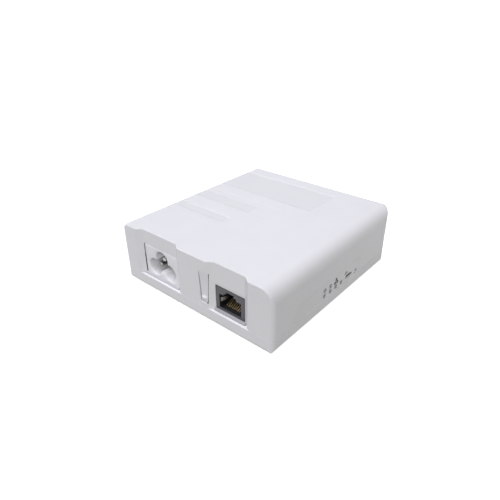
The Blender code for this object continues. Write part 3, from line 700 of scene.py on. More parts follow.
front = lat.j == 0
right = lat.i == len(X) - 1
keep = np.ones(len(lat.faces), dtype=bool)
straight = np.zeros(len(outer), dtype=bool)
drop_y, drop_x = np.zeros(len(outer)), np.zeros(len(outer))
x, y, z = outer[:, 0].copy(), outer[:, 1].copy(), outer[:, 2].copy()
for name, (a0, a1, b0, b1, r, f) in FRONT_HOLES.items():
    c = lat.centre
    keep &= ~((lat.side == 0) & (c[:, 0] > a0) & (c[:, 0] < a1) & (c[:, 1] > b0) & (c[:, 1] < b1))
    nu, nv = square_to_round(lat.p[:, 0], lat.p[:, 2], (a0, a1, b0, b1), r)
    d = rect(nu, nv, a0, a1, b0, b1, r)
    zone = front & (d < 2.5 * r + 1.5)
    moved_x, moved_z = np.where(zone, nu - lat.p[:, 0], 0), np.where(zone, nv - lat.p[:, 2], 0)
    if name == "tongue":                   # the opening narrows towards its lower end
        t = np.clip((b1 - nv) / (b1 - b0), 0, 1)
        reach = np.clip(1 - np.maximum(np.abs(nu - TONGUE_X) - SLOT_TOP, 0) / 2.5, 0, 1)
        end = np.clip(1 - np.maximum(b0 - nv, 0) / 1.5, 0, 1) * np.clip(1 - np.maximum(nv - b1, 0) / 1.5, 0, 1)
        side = np.clip((nu - TONGUE_X) / SLOT_TOP, -1, 1)
        moved_x += np.where(front, -side * (SLOT_TOP - SLOT_LOW) * t * reach * end, 0)
    x += moved_x
    z += moved_z
    drop_y += np.where(zone, fillet_drop(np.maximum(d, 0), f), 0)
    straight |= front & (np.abs(d) < 1e-3)
for name, (a0, a1, b0, b1, r, f) in SIDE_HOLES.items():
    c = lat.centre
    keep &= ~((lat.side == 2) & (c[:, 0] > a0) & (c[:, 0] < a1) & (c[:, 1] > b0) & (c[:, 1] < b1))
    nu, nv = square_to_round(lat.p[:, 1], lat.p[:, 2], (a0, a1, b0, b1), r)
    d = rect(nu, nv, a0, a1, b0, b1, r)
    zone = right & (d < 2.5 * r + 0.5)
    y += np.where(zone, nu - lat.p[:, 1], 0)
    z += np.where(zone, nv - lat.p[:, 2], 0)
    drop_x += np.where(zone, fillet_drop(np.maximum(d, 0), f), 0)
    straight |= right & (np.abs(d) < 1e-3)

# small fillet along the lower rim of the shell
rim = fillet_drop(z - SHELL_LOW, SEAM_R) * (lat.k < 5)
hx, hy = np.clip((np.abs(x) - (HW - 9)) / 9, 0, 1) * np.sign(x), np.clip((np.abs(y) - (HD - 9)) / 9, 0, 1) * np.sign(y)
hl = np.maximum(np.hypot(hx, hy), 1e-9)
drop = np.stack([-hx / hl * rim - drop_x, -hy / hl * rim + drop_y, np.zeros_like(x)], axis=1)


def sculpt(pts, base):
    """Pockets, lamp panel and top recesses, by the place that each point has on the plain form."""
    out = pts.copy()
    bx, by, bz = base[:, 0], base[:, 1], base[:, 2]
    fade = 1 - ease((by + HD - 5.0) / 11.0)
    out[:, 1] += pocket_depth(out[:, 0]) * fade
    mask = ease(0.5 - rect(out[:, 1], out[:, 2], PANEL_Y[0], PANEL_Y[1], -30, PANEL_TOP, PANEL_R) / 0.5) * ease((out[:, 2] - SHELL_LOW - 0.1) / 0.6)
    out[:, 0] = np.where(bx > 20, np.minimum(out[:, 0], np.maximum(HW - PANEL_DEPTH * mask, 0)), out[:, 0])
    for y0, y1, x1, depth in BARS + (STEP,):
        mask = ease(0.5 - rect(bx, by, -HW - 20, x1, y0, y1, 0.9) / BAR_SLOPE)
        out[:, 2] = np.where(bz > 20, np.minimum(out[:, 2], TOP - depth * mask), out[:, 2])
    return out


base = np.stack([x, y, z], axis=1)
outer = sculpt(base, base) + drop
inner_base = inner.copy()
inner_base[:, 1] += pocket_depth(inner[:, 0]) * (1 - ease((inner[:, 1] + HD - 5.0) / 11.0))
inner_base[:, 0] = np.where(inner[:, 0] > 20, np.minimum(inner_base[:, 0], HW - 2.3), inner_base[:, 0])
inner = inner_base
inner[straight & front] = (outer + np.array([0.0, 1.9, 0.0]))[straight & front]
inner[straight & right] = (outer + np.array([-1.6, 0.0, 0.0]))[straight & right]
low = lat.k == 0
inner[low, 2] = SHELL_LOW

verts, skin, lining, walls = closed(outer, inner, lat.faces, keep)
c, s = lat.centre[keep], lat.side[keep]
slot = np.zeros(len(skin), dtype=np.int32)
for y0, y1, x1, depth in BARS:
    slot[(s == 4) & (c[:, 0] < x1) & (c[:, 1] > y0) & (c[:, 1] < y1)] = 1
slot[(s == 2) & (rect(c[:, 0], c[:, 1], PANEL_Y[0], PANEL_Y[1], -30, PANEL_TOP, PANEL_R) < 0)] = 2
faces = [tuple(q) for q in skin] + [tuple(q) for q in lining] + walls
mid = np.array([np.mean([verts[v] for v in w], axis=0) for w in walls])      # the cut edges of the openings sit in shade
# These walls are coloured as painted shade: near-black low in the gap beside the inlet, mid grey higher up and on the
# tongue opening's right edge, pale grey on its left edge.
edge_shade = np.zeros(len(walls), dtype=np.int32)
near = mid[:, 1] < -HD + 6
beside = near & (np.abs(mid[:, 0] - (IX0 - 0.45)) < 0.12)
edge_shade[beside & (mid[:, 2] < IZ1 - 6.5)] = 3
edge_shade[beside & (mid[:, 2] >= IZ1 - 6.5)] = 4
slot_edge = near & (np.abs(mid[:, 0] - TONGUE_X) < SLOT_TOP + 0.3) & (mid[:, 2] > SHELL_LOW + 0.5)
edge_shade[slot_edge & (mid[:, 0] < TONGUE_X - 1.0) & (mid[:, 2] > LZ0)] = 5
edge_shade[slot_edge & (mid[:, 0] > TONGUE_X + 0.9)] = 4
slots = np.concatenate([slot, np.zeros(len(lining), dtype=np.int32), edge_shade])
shell = piece("shell_upper", verts, faces, SHELL, smooth_angle=38, slots=[SHELL, BAR_SHADE_TONE, PANEL, GAP_SHADE_PAINT, GAP_SHADE_PAINT_SOFT, PALE_SHADE_PAINT], face_slots=slots)
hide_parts("upper_shell")

LEDGE_DROP = 0.15                          # fall of the rim towards the front under the pockets

# --- base tray -----------------------------------------------------------------------------------------------------
RIM_Z = TRAY_HIGH
X = grid(-HW, HW, 5.0, [], slopes + corner_lines(-HW, 1, 7.0) + corner_lines(HW, -1, 9.2))
Y = grid(-HD, HD, 5.0, [], corner_lines(-HD, 1, 5.0) + corner_lines(HD, -1, 9.2))
Z = grid(BOTTOM, RIM_Z, 0.8, [RIM_Z - SEAM_R * k for k in (0.25, 0.55, 1.0)] + [RIM_Z - 0.5, RIM_Z - 0.3], corner_lines(BOTTOM, 1, 3.9))
lat = Lattice(X, Y, Z, lid=False, floor=True)
outer = level(lat.p, 0.0)
inner = level(lat.p, 3.3)
x, y, z = outer.T
rim = fillet_drop(RIM_Z - z, SEAM_R) * (z > RIM_Z - 0.3)
hx, hy = np.clip((np.abs(x) - (HW - 9)) / 9, 0, 1) * np.sign(x), np.clip((np.abs(y) - (HD - 9)) / 9, 0, 1) * np.sign(y)
hl = np.maximum(np.hypot(hx, hy), 1e-9)
outer = outer - np.stack([hx / hl * rim, hy / hl * rim, np.zeros_like(rim)], axis=1)
inner[lat.k == len(Z) - 1, 2] = RIM_Z
under = pocket_depth(outer[:, 0]) / POCKET_DEPTH * (lat.j == 0) * (lat.k == len(Z) - 1)
outer[:, 2] -= LEDGE_DROP * under
verts, skin, lining, walls = closed(outer, inner, lat.faces, np.ones(len(lat.faces), dtype=bool))
wall_x = np.array([(verts[w[0]][0] + verts[w[1]][0]) / 2 for w in walls])
wall_y = np.array([(verts[w[0]][1] + verts[w[1]][1]) / 2 for w in walls])
# Rim walls under the pockets take the brighter ledge colour as a painted highlight.
ledge_highlight = (pocket_depth(wall_x) > 0.12 * POCKET_DEPTH) & (wall_y < -HD + 1)
slots = np.concatenate([np.zeros(len(skin) + len(lining), dtype=np.int32), ledge_highlight.astype(np.int32)])
tray = piece("tray_lower", verts, [tuple(q) for q in skin] + [tuple(q) for q in lining] + walls, TRAY, smooth_angle=38,
             slots=[TRAY, LEDGE_HIGHLIGHT_PAINT], face_slots=slots)


def strip(name, x0, x1, top, material):
    """Steep curved strip that rises from the ledge to the foot of a port."""
    prof = [(JY0 + 2.0, RIM_Z - 0.6), (SILL_Y, RIM_Z - 0.6), (SILL_Y, RIM_Z + 0.02), (SILL_Y + 0.05, RIM_Z + 0.2), (SILL_Y + 0.16, RIM_Z + 0.45),
            (SILL_Y + 0.32, (RIM_Z + top) / 2 + 0.12), (SILL_Y + 0.55, top - 0.08), (SILL_Y + 0.75, top), (JY0 + 2.0, top)]
    n, verts, faces = len(prof), [], []
    for xx in (x0, x1):
        verts += [(xx, yy, zz) for yy, zz in prof]
    faces = [(k, (k + 1) % n, (k + 1) % n + n, k + n) for k in range(n)] + [tuple(range(n))[::-1], tuple(range(n, 2 * n))]
    return piece(name, verts, faces, material, smooth_angle=40)


SILL_Y = -HD + 1.10
# Both strips take grey colours as painted shade under the overhang of the ports.
sills = [strip("sill_jack", POCKETS[1][0] - HW + 1.2, POCKETS[1][1] - HW - 1.2, JZ0 - 0.05, SHADE_GREY_PAINT),
         strip("sill_inlet", POCKETS[0][0] - HW + 1.2, POCKETS[0][1] - HW - 1.2, IZ0 + 0.45, PALE_SHADE_PAINT)]
tray = join_pieces("tray_lower", [tray] + sills)
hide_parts("base_tray")

# --- latch tongue --------------------------------------------------------------------------------------------------
# Section through the tongue: (distance in from the front face, height), from its root down over the ridge and back up
Y0 = LY0
sect = [(0.0, LZ1), (0.02, LZ1 - 0.5), (0.12, LZ1 - 1.4), (0.26, LZ1 - 2.6), (0.38, LZ1 - 4.2), (0.45, LZ1 - 6.0),
        (0.50, 15.4), (0.52, 14.0), (0.52, 13.1), (0.46, 12.85), (0.24, 12.66), (0.03, 12.52), (-0.06, 12.3), (-0.06, 11.9), (0.0, 11.6),
        (0.08, 11.3), (0.15, 10.95), (0.20, 10.6), (0.26, 10.35), (0.42, 10.16), (0.75, LZ0 + 0.0)]
back = [(1.7, LZ0), (1.84, LZ0 + 0.06), (1.9, LZ0 + 0.2), (1.9, 12.0), (1.9, 16.0), (1.9, 20.0), (1.9, LZ1 - 0.4), (1.55, LZ1 - 0.16), (1.1, LZ1 - 0.02)]
loop = sect + back


def tongue_half(zz):
    t = min(max((LZ1 - zz) / (LZ1 - LZ0), 0), 1)
    return SLOT_TOP - 0.24 - (SLOT_TOP - SLOT_LOW) * t


cols = [-1.0, -0.985, -0.95, -0.90, -0.84, -0.77, -0.68, -0.6, -0.3, 0.0, 0.3, 0.45, 0.54, 0.62, 0.70, 0.78, 0.84, 0.90, 0.95, 0.985, 1.0]


def ridge(cfrac, dy, zz):
    """The ridge stops short of the tongue's sides and runs out into the plain recessed face there."""
    if not 10.4 < zz < 13.05 or dy > 1.2:
        return dy
    t = min(max(((0.90 if cfrac < 0 else 0.80) - abs(cfrac)) / 0.22, 0), 1)
    flat = 0.52 if zz > 11.6 else 0.52 - 0.32 * (11.6 - zz) / 1.0
    return flat + (dy - flat) * t * t * (3 - 2 * t)


verts, faces = [], []
for ci, cfrac in enumerate(cols):
    for dy, zz in loop:
        dy = ridge(cfrac, dy, zz)
        half = tongue_half(zz)
        down = min(max((LZ1 - zz) / (LZ1 - LZ0), 0), 1)
        xx = TONGUE_X + cfrac * half - (0.02 + 0.24 * down if cfrac > 0 else 0.02) * abs(cfrac)
        away = half - abs(cfrac) * half
        e = 0.10
        roll = e - math.sqrt(max(e * e - max(e - away, 0) ** 2, 0))
        # the lower free end is rounded in plan as well
        lift = 0.0
        if zz < LZ0 + 0.9:
            k = abs(cfrac) ** 4 * 0.35
            lift = k * (1 - (zz - LZ0) / 0.9)
        if zz > LZ1 - 0.01:
            roll = 0.0
        flush = float(pocket_depth(np.array([xx]))[0])
        yy = dy + (roll + flush * min(1.0, (1.9 - dy) / 1.9) if dy < 0.95 else (-roll if dy > 1.65 else 0))
        verts.append((xx, Y0 + yy, zz + lift))
n = len(loop)
for ci in range(len(cols) - 1):
    for k in range(n):
        a, b = ci * n + k, ci * n + (k + 1) % n
        faces.append((a, a + n, b + n, b))
faces.append(tuple(range(n)))
faces.append(tuple(range((len(cols) - 1) * n, len(cols) * n))[::-1])
# The tongue's right side face, towards the right slot, gets the near-black gap colour as painted shade.
sides = np.zeros(len(faces), dtype=np.int32)
sides[-1] = 1
tongue = piece("tongue_sprung", verts, faces, SHELL, body="latch_tongue", slots=[SHELL, GAP_SHADE_PAINT], face_slots=sides)
bm = bmesh.new()
bm.from_mesh(tongue.data)
bmesh.ops.recalc_face_normals(bm, faces=bm.faces)
bm.to_mesh(tongue.data)
bm.free()
tongue.data.shade_smooth()
tongue.data.set_sharp_from_angle(angle=math.radians(50))
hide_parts("latch_tongue")

# ------------------------------------------------------------------------------------------------------------------
# Mains inlet
# ------------------------------------------------------------------------------------------------------------------
CZ = LOBE_Z + 1.6
N = 288
theta = np.linspace(0, 2 * math.pi, N, endpoint=False) + 0.001
ux, uz = np.cos(theta), np.sin(theta)


def smin(a, b, k):
    h = np.clip(0.5 + 0.5 * (b - a) / k, 0, 1)
    return b + (a - b) * h - k * h * (1 - h)


def clover(px, pz):
    discs = [(-LOBE_X, LOBE_Z - CZ, LOBE_R), (LOBE_X, LOBE_Z - CZ, LOBE_R), (0.0, EARTH_Z - CZ, LOBE_R), (0.0, 0.0, 3.0)]
    d = [np.hypot(px - a, pz - b) - r for a, b, r in discs]
    return smin(smin(smin(d[0], d[1], 0.5), d[2], 0.5), d[3], 0.4)


def reach(field, shift, far=16.0):
    """Farthest distance from the middle, in each direction, where the field is still under shift."""
    r = np.linspace(0.0, far, 1601)
    f = field(ux[:, None] * r, uz[:, None] * r)
    inside = f < shift
    last = inside.shape[1] - 1 - np.argmax(inside[:, ::-1], axis=1)
    lo, hi = r[last], r[np.minimum(last + 1, len(r) - 1)]
    for _ in range(24):
        mid = (lo + hi) / 2
        ins = field(ux * mid, uz * mid) < shift
        lo, hi = np.where(ins, mid, lo), np.where(ins, hi, mid)
    return (lo + hi) / 2


def body_edge(px, pz):
    return rr(px, pz + CZ, (IX1 - IX0) / 2, IZ0, IZ1, (0.5, 0.5, 0.8, 0.8))


YF, YR = IY0, IY1
R_CAV = YF + 13.0
edge0, edge1, edge2 = reach(body_edge, 0.0), reach(body_edge, -0.04), reach(body_edge, -0.12)
lip3, lip2, lip1, lip0 = reach(clover, 0.75), reach(clover, 0.38), reach(clover, 0.12), reach(clover, 0.0)
deep, foot1, foot2 = reach(clover, -0.10), reach(clover, -0.22), reach(clover, -0.5)
rings = [(edge0, YR), (edge0, YF + 0.12), (edge1, YF + 0.03), (edge2, YF), (edge2 * 0.6 + lip3 * 0.4, YF), (lip3, YF),
         (lip2, YF + 0.13), (lip1, YF + 0.40), (lip0, YF + 0.95), (lip0 * 0.6 + deep * 0.4, YF + 5.0), (deep, R_CAV - 0.5),
         (foot1, R_CAV - 0.12), (foot2, R_CAV), (foot2 * 0.5, R_CAV)]
verts, faces = [], []
for r, yy in rings:
    verts += [(INLET_X + a * rad, yy, CZ + b * rad) for a, b, rad in zip(ux, uz, r)]
for k in range(len(rings) - 1):
    for i in range(N):
        j = (i + 1) % N
        faces.append((k * N + i, (k + 1) * N + i, (k + 1) * N + j, k * N + j))
last = (len(rings) - 1) * N
verts.append((INLET_X, R_CAV, CZ))
faces += [(last + i, len(verts) - 1, last + (i + 1) % N) for i in range(N)]
verts.append((INLET_X, YR, CZ))
faces += [(i, (i + 1) % N, len(verts) - 1) for i in range(N)]
inlet = piece("inlet_moulding", verts, faces, INLET)
bm = bmesh.new()
bm.from_mesh(inlet.data)
bmesh.ops.recalc_face_normals(bm, faces=bm.faces)
bm.to_mesh(inlet.data)
bm.free()
inlet.data.shade_smooth()
inlet.data.set_sharp_from_angle(angle=math.radians(40))
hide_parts("inlet_body")

for name in ("inlet_pin_line", "inlet_pin_neutral", "inlet_pin_earth"):
    (px0, py0, pz0), (px1, py1, pz1) = cad(name)
    px = (px0 + px1) / 2
    pz = pz1 - 1.2
    prof = [(0, py0), (0.45, py0), (0.78, py0 + 0.06), (1.0, py0 + 0.2), (1.14, py0 + 0.42), (1.2, py0 + 0.75), (1.2, R_CAV + 0.6),
            (1.32, R_CAV + 0.6), (1.32, YR + 0.3), (0.9, YR + 0.5), (0.8, py1 - 0.3), (0.6, py1), (0, py1)]
    pin = lathe(name + "_turned", prof, (px, 0, pz), "Y", NICKEL, steps=40)
    tail = block(name + "_tail", (px - 0.55, py1 - 1.0, pz0), (px + 0.55, py1 - 0.4, pz - 0.1), NICKEL, 0.12)
    whole = join_pieces(name + "_pin", [pin, tail])
    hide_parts(name)

# ------------------------------------------------------------------------------------------------------------------
# Network socket
# ------------------------------------------------------------------------------------------------------------------


def mouth(grow=0.0):
    half, latch, step = 5.9 + grow, 3.3 + grow, 2.0 + grow
    low, shoulder, mid, top = 9.85 - grow, 16.4 + grow, 17.5 + grow, 18.6 + grow
    side = [(half, low), (half, shoulder), (latch, shoulder), (latch, mid), (step, mid), (step, top)]
    return [(JACK_X + u, v) for u, v in side] + [(JACK_X - u, v) for u, v in side[::-1]]


def rounded_rect(u0, u1, v0, v1, r, n=4):
    pts = []
    for cu, cv, start in ((u0 + r, v0 + r, 180), (u1 - r, v0 + r, 270), (u1 - r, v1 - r, 0), (u0 + r, v1 - r, 90)):
        for i in range(n + 1):
            a = math.radians(start + 90 * i / n)
            pts.append((cu + r * math.cos(a), cv + r * math.sin(a)))
    return pts


face = plate("shield_face", [rounded_rect(JX0, JX1, JZ0, JZ1, 0.3), mouth(0.10)], JY0, JY0 + 0.4, "Y", TIN, 0.07)
skin = [face]
T = 0.35
skin.append(plate("shield_left", [rounded_rect(JY0 + 0.3, JY1, JZ0 + 0.2, JZ1 - 0.2, 0.2),
                                  rounded_rect(JY0 + 1.3, JY0 + 4.8, 11.7, 14.3, 0.2)], JX0 + 0.02, JX0 + T, "X", TIN, 0.05))
skin.append(plate("shield_right", [rounded_rect(JY0 + 0.3, JY1, JZ0 + 0.2, JZ1 - 0.2, 0.2),
                                   rounded_rect(JY0 + 1.3, JY0 + 4.8, 11.7, 14.3, 0.2)], JX1 - T, JX1 - 0.02, "X", TIN, 0.05))
skin.append(plate("shield_top", [rounded_rect(JX0 + 0.1, JX1 - 0.1, JY0 + 0.3, JY1, 0.2)], JZ1 - T, JZ1 - 0.02, "Z", TIN, 0.05))
skin.append(plate("shield_low", [rounded_rect(JX0 + 0.1, JX1 - 0.1, JY0 + 0.3, JY1, 0.2)], JZ0 + 0.02, JZ0 + T, "Z", TIN, 0.05))
skin.append(plate("shield_rear", [rounded_rect(JX0 + 0.1, JX1 - 0.1, JZ0 + 0.1, JZ1 - 0.1, 0.3)], JY1 - T, JY1, "Y", TIN, 0.05))
for xa in (JX0 + 0.02, JX1 - T):
    skin.append(plate("shield_leg", [rounded_rect(JY0 + 8.4, JY0 + 9.9, 4.8, JZ0 + 1.0, 0.3)], xa, xa + T - 0.02, "X", TIN, 0.05))
shield = join_pieces("socket_shield", skin)
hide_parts("jack_shield")


def finger(name, side):
    """Spring finger of the shield: a strip folded in at the mouth that bows towards the plug."""
    x_in = JACK_X - side * 6.0
    path = [(0.12, 0.02), (0.35, -0.10), (0.8, 0.05), (1.8, 0.55), (3.0, 0.95), (4.0, 1.0), (4.8, 0.75), (5.3, 0.45)]
    verts, faces = [], []
    t = 0.22
    cols = [(-1.0, 0.5), (-0.9, 0.98), (0.0, 1.0), (0.9, 0.98), (1.0, 0.5)]
    for dy, bow in path:
        w = 1.10 - 0.05 * dy
        zc = 12.95 - 0.02 * dy
        for s, _ in ((-1, 0), (-0.86, 0), (0.86, 0), (1, 0)):
            verts.append((x_in + side * (bow + (0.05 if abs(s) < 1 else 0.0)), JY0 + dy, zc + s * w))
        for s in (1, 0.86, -0.86, -1):
            verts.append((x_in + side * (bow - t + (0.05 if abs(s) == 1 else 0.0)), JY0 + dy, zc + s * w))
    m = 8
    for k in range(len(path) - 1):
        for i in range(m):
            j = (i + 1) % m
            faces.append((k * m + i, k * m + j, (k + 1) * m + j, (k + 1) * m + i))
    faces.append(tuple(range(m)))
    faces.append(tuple(range((len(path) - 1) * m, len(path) * m))[::-1])
    o = piece(name, verts, faces, TIN_PAINTED_LIGHT)
    bm = bmesh.new()
    bm.from_mesh(o.data)
    bmesh.ops.recalc_face_normals(bm, faces=bm.faces)
    bm.to_mesh(o.data)
    bm.free()
    sub = o.modifiers.new("soft", "SUBSURF")
    sub.levels = sub.render_levels = 1
    return from_object(name, o, TIN_PAINTED_LIGHT, smooth_angle=60)


fingers = join_pieces("shield_fingers", [finger("finger_left", 1), finger("finger_right", -1)])

(NX0, NY0, NZ0), (NX1, NY1, NZ1) = cad("jack_insert")
parts = []
DEEP = JY0 + 13.6
parts.append(plate("insert_walls", [rounded_rect(NX0, NX1, NZ0, NZ1, 0.3), mouth(0.0)], NY0, DEEP, "Y", BLACK, 0.08))
parts.append(plate("insert_back", [rounded_rect(NX0, NX1, NZ0, NZ1, 0.3)], DEEP - 0.05, NY1, "Y", BLACK, 0.08))
PITCH = 1.02
for i in range(9):
    xc = JACK_X + (i - 4) * PITCH
    comb = [(JY0 + 1.5, 9.6), (JY0 + 1.5, 9.9), (JY0 + 2.2, 10.1), (JY0 + 8.8, 11.4), (JY0 + 10.2, 14.8), (JY0 + 13.6, 14.8), (JY0 + 13.6, 9.6)]
    parts.append(plate("insert_comb_%d" % i, [comb[::-1]], xc - 0.17, xc + 0.17, "X", BLACK, 0.05))
parts.append(block("insert_shelf", (JACK_X - 5.85, JY0 + 10.4, 14.6), (JACK_X + 5.85, DEEP, 16.5), BLACK, 0.15))
insert = join_pieces("socket_insert", parts)
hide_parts("jack_insert")

CONTACTS = ["jack_contact_%d" % (i + 1) for i in range(8)]
for i, name in enumerate(CONTACTS):
    (a0, b0, c0), (a1, b1, c1) = cad(name)
    xc = (a0 + a1) / 2
    stagger = 0.12 if i % 2 else 0.0
    path = [(xc, b0 + 0.2, c0 + 0.30), (xc, b0 + 1.6, c0 + 0.85 + stagger * 0.3), (xc, b0 + 4.4, c0 + 2.35 + stagger * 0.4),
            (xc, b0 + 7.0, c0 + 3.35 + stagger * 0.2), (xc, b0 + 8.6, c0 + 3.45), (xc, b1 - 0.1, c1 - 0.15)]
    w = wire(name + "_wire", [path], 0.24, GOLD, body="jack_contacts", sides=8)
    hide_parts(name)

# ------------------------------------------------------------------------------------------------------------------
# Lamp panel: windows, icons, micro-USB socket, reset button
# ------------------------------------------------------------------------------------------------------------------
FACE = HW - PANEL_DEPTH                    # floor of the lamp panel
(GX0, GY0, GZ0), (GX1, GY1, GZ1) = cad("light_guide")
guides = [plate("guide_bar", [rounded_rect(GY0, GY1, GZ0, GZ1, 0.2)], GX0, 42.75, "X", LENS, 0.08)]
for n, yc in enumerate(LAMP_Y):
    guides.append(plate("guide_%d" % n, [rounded_rect(yc - 1.05, yc + 1.05, LAMP_Z - 0.97, LAMP_Z + 0.97, 0.2)], 42.6, FACE - 0.03, "X",
                        LENS, 0.10))
guide = join_pieces("lamp_windows", guides)
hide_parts("light_guide")

INK_T = 0.03


def ink(name, outlines):
    return plate(name, outlines, FACE - 0.005, FACE + INK_T, "X", INK, 0.008)


def ring_outline(cy, cz, r, n=28, start=0.0, sweep=360.0):
    return [(cy + r * math.cos(math.radians(start + sweep * i / n)), cz + r * math.sin(math.radians(start + sweep * i / n)))
            for i in range(n + (0 if sweep == 360 else 1))]


def arc_band(cy, cz, r0, r1, start, sweep, n=20):
    return ring_outline(cy, cz, r1, n, start, sweep) + ring_outline(cy, cz, r0, n, start, sweep)[::-1]


def bar_between(p, q, w):
    (a, b), (c, d) = p, q
    length = math.hypot(c - a, d - b)
    nx, nz = -(d - b) / length * w / 2, (c - a) / length * w / 2
    return [(a + nx, b + nz), (a - nx, b - nz), (c - nx, d - nz), (c + nx, d + nz)]


icons = []
cy, cz = LAMP_Y[0] - 0.05, 12.05            # power: open ring with a stroke
icons.append(ink("icon_power_ring", [arc_band(cy, cz, 0.62, 1.05, 125, 290)]))
icons.append(ink("icon_power_stroke", [bar_between((cy, cz + 0.1), (cy, cz + 1.2), 0.40)]))
cy, cz = LAMP_Y[1] - 0.1, 11.95             # loop: two half rings round a dot
icons.append(ink("icon_loop_a", [arc_band(cy, cz, 0.66, 1.10, 15, 150)]))
icons.append(ink("icon_loop_b", [arc_band(cy, cz, 0.66, 1.10, 195, 150)]))
icons.append(ink("icon_loop_dot", [ring_outline(cy, cz, 0.36)]))
cy, cz = LAMP_Y[2] + 0.0, 11.9              # network: three dots in a triangle, joined
for n, (a, b) in enumerate(((0.0, 1.25), (-0.95, -0.45), (0.95, -0.45))):
    icons.append(ink("icon_net_dot_%d" % n, [ring_outline(cy + a, cz + b, 0.78)]))
icons.append(ink("icon_net_l", [bar_between((cy - 0.1, cz + 1.0), (cy - 0.9, cz - 0.3), 0.30)]))
icons.append(ink("icon_net_r", [bar_between((cy + 0.1, cz + 1.0), (cy + 0.9, cz - 0.3), 0.30)]))
cy, cz = 5.8, 12.1                          # service port: short slanted double bar
icons.append(ink("icon_port_a", [bar_between((cy - 1.3, cz - 0.25), (cy + 1.3, cz + 0.15), 0.42)]))
icons.append(ink("icon_port_b", [bar_between((cy - 0.5, cz + 0.50), (cy + 1.2, cz + 0.76), 0.34)]))
icons.append(ink("icon_reset", [ring_outline(RESET_Y - 1.0, 8.15, 0.32)]))
print_piece = join_pieces("panel_print", icons)

(UX0, UY0, UZ0), (UX1, UY1, UZ1) = cad("usb_shell")


def trapezoid(grow, z_low, z_top):
    a = 3.8 + grow
    return [(USB_Y - a + 0.35, z_top), (USB_Y - a, z_top - 0.35), (USB_Y - a, z_low + 1.1), (USB_Y - a + 0.95, z_low),
            (USB_Y + a - 0.95, z_low), (USB_Y + a, z_low + 1.1), (USB_Y + a, z_top - 0.35), (USB_Y + a - 0.35, z_top)][::-1]


usb = [plate("usb_can", [trapezoid(0, UZ0, UZ1), trapezoid(-0.3, UZ0 + 0.3, UZ1 - 0.3)], UX0 + 0.2, UX1, "X", USB_SHADE_METAL, 0.05),
       plate("usb_back", [trapezoid(0, UZ0, UZ1)], UX0, UX0 + 0.4, "X", USB_SHADE_METAL, 0.05)]
usb = join_pieces("usb_can", usb)
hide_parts("usb_shell")
(VX0, VY0, VZ0), (VX1, VY1, VZ1) = cad("usb_tongue")
tong = [block("usb_blade", (VX0, VY0, VZ0), (VX1, VY1, VZ1), BLACK, 0.12)]
tong += [block("usb_back_block", (UX0 + 0.5, VY0 - 1.4, UZ0 + 0.5), (UX0 + 1.6, VY1 + 1.4, UZ1 - 0.5), BLACK, 0.1)]
tongue_pads = [block("usb_pad_%d" % i, (VX0 + 0.6, VY0 + 0.35 + 0.65 * i, VZ0 - 0.04), (VX1 - 0.2, VY0 + 0.65 + 0.65 * i, VZ0 + 0.1), GOLD, 0.02)
               for i in range(5)]
# A black block inside the side opening, in front of the socket, stands in for the shade there (painted shade).
tong += [block("usb_opening_shade_block", (UX1 + 0.1, USB_Y - 3.42, USB_Z - 0.50), (FACE - 0.14, USB_Y + 0.95, USB_Z + 0.42), BLACK, 0.08)]
usb_tongue = join_pieces("usb_blade", tong + tongue_pads)
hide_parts("usb_tongue")

(BX0, BY0, BZ0), (BX1, BY1, BZ1) = cad("reset_button")
BX = BX1
prof = [(0, BX - 0.10), (0.35, BX - 0.085), (0.55, BX - 0.03), (0.66, BX), (0.76, BX - 0.03), (0.83, BX - 0.12), (0.85, BX - 0.25), (0.85, 42.85),
        (1.30, 42.8), (1.35, 42.72), (1.35, 42.3), (0.72, 42.25), (0.68, BX0), (0, BX0)]
button = lathe("reset_cap", prof, (0, RESET_Y, RESET_Z), "X", BUTTON, body="reset_button", steps=40)
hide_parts("reset_button")
(QX0, QY0, QZ0), (QX1, QY1, QZ1) = cad("reset_switch_plunger")
prof = [(0, QX1), (0.4, QX1), (0.6, QX1 - 0.06), (0.68, QX1 - 0.2), (0.7, QX1 - 0.4), (0.7, QX0), (0, QX0)]
plunger = lathe("switch_plunger", prof, (0, (QY0 + QY1) / 2, (QZ0 + QZ1) / 2), "X", BUTTON, body="reset_plunger", steps=24)
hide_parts("reset_switch_plunger")

# ------------------------------------------------------------------------------------------------------------------
# Underside: feet
# ------------------------------------------------------------------------------------------------------------------
for i in range(4):
    (fx0, fy0, fz0), (fx1, fy1, fz1) = cad("foot_%d" % (i + 1))
    fx, fy, fr = (fx0 + fx1) / 2, (fy0 + fy1) / 2, (fx1 - fx0) / 2
    prof = [(0, fz1), (fr - 0.3, fz1), (fr - 0.08, fz1 - 0.06), (fr, fz1 - 0.25), (fr, 0.32), (fr - 0.06, 0.16), (fr - 0.2, 0.04),
            (fr - 0.4, 0.0), (fr - 1.1, 0.0), (fr - 1.25, 0.06), (fr - 1.4, 0.10), (fr - 1.55, 0.06), (fr - 1.7, 0.0), (0, 0.0)]
    foot = lathe("rubber_foot_%d" % (i + 1), prof, (fx, fy, 0), "Z", RUBBER, steps=48)
    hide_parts("foot_%d" % (i + 1))

# ------------------------------------------------------------------------------------------------------------------
# Inside of the housing
# ------------------------------------------------------------------------------------------------------------------


def board_finish():
    s = Shader("board_green", (0.012, 0.12, 0.045), 0.34, IOR=1.5)
    s.tint(s.noise(9.0, 3.0), 0.85, 1.15)
    v = s.node("ShaderNodeTexVoronoi", feature="DISTANCE_TO_EDGE")
    v.inputs["Scale"].default_value = 260.0
    s.link(s.space, v.inputs["Vector"])
    s.shade(v.outputs["Distance"], (0.03, 0.22, 0.09), 0.10, 0.02)
    s.bump(s.noise(0.6, 2.0), 0.01)
    return s.mat


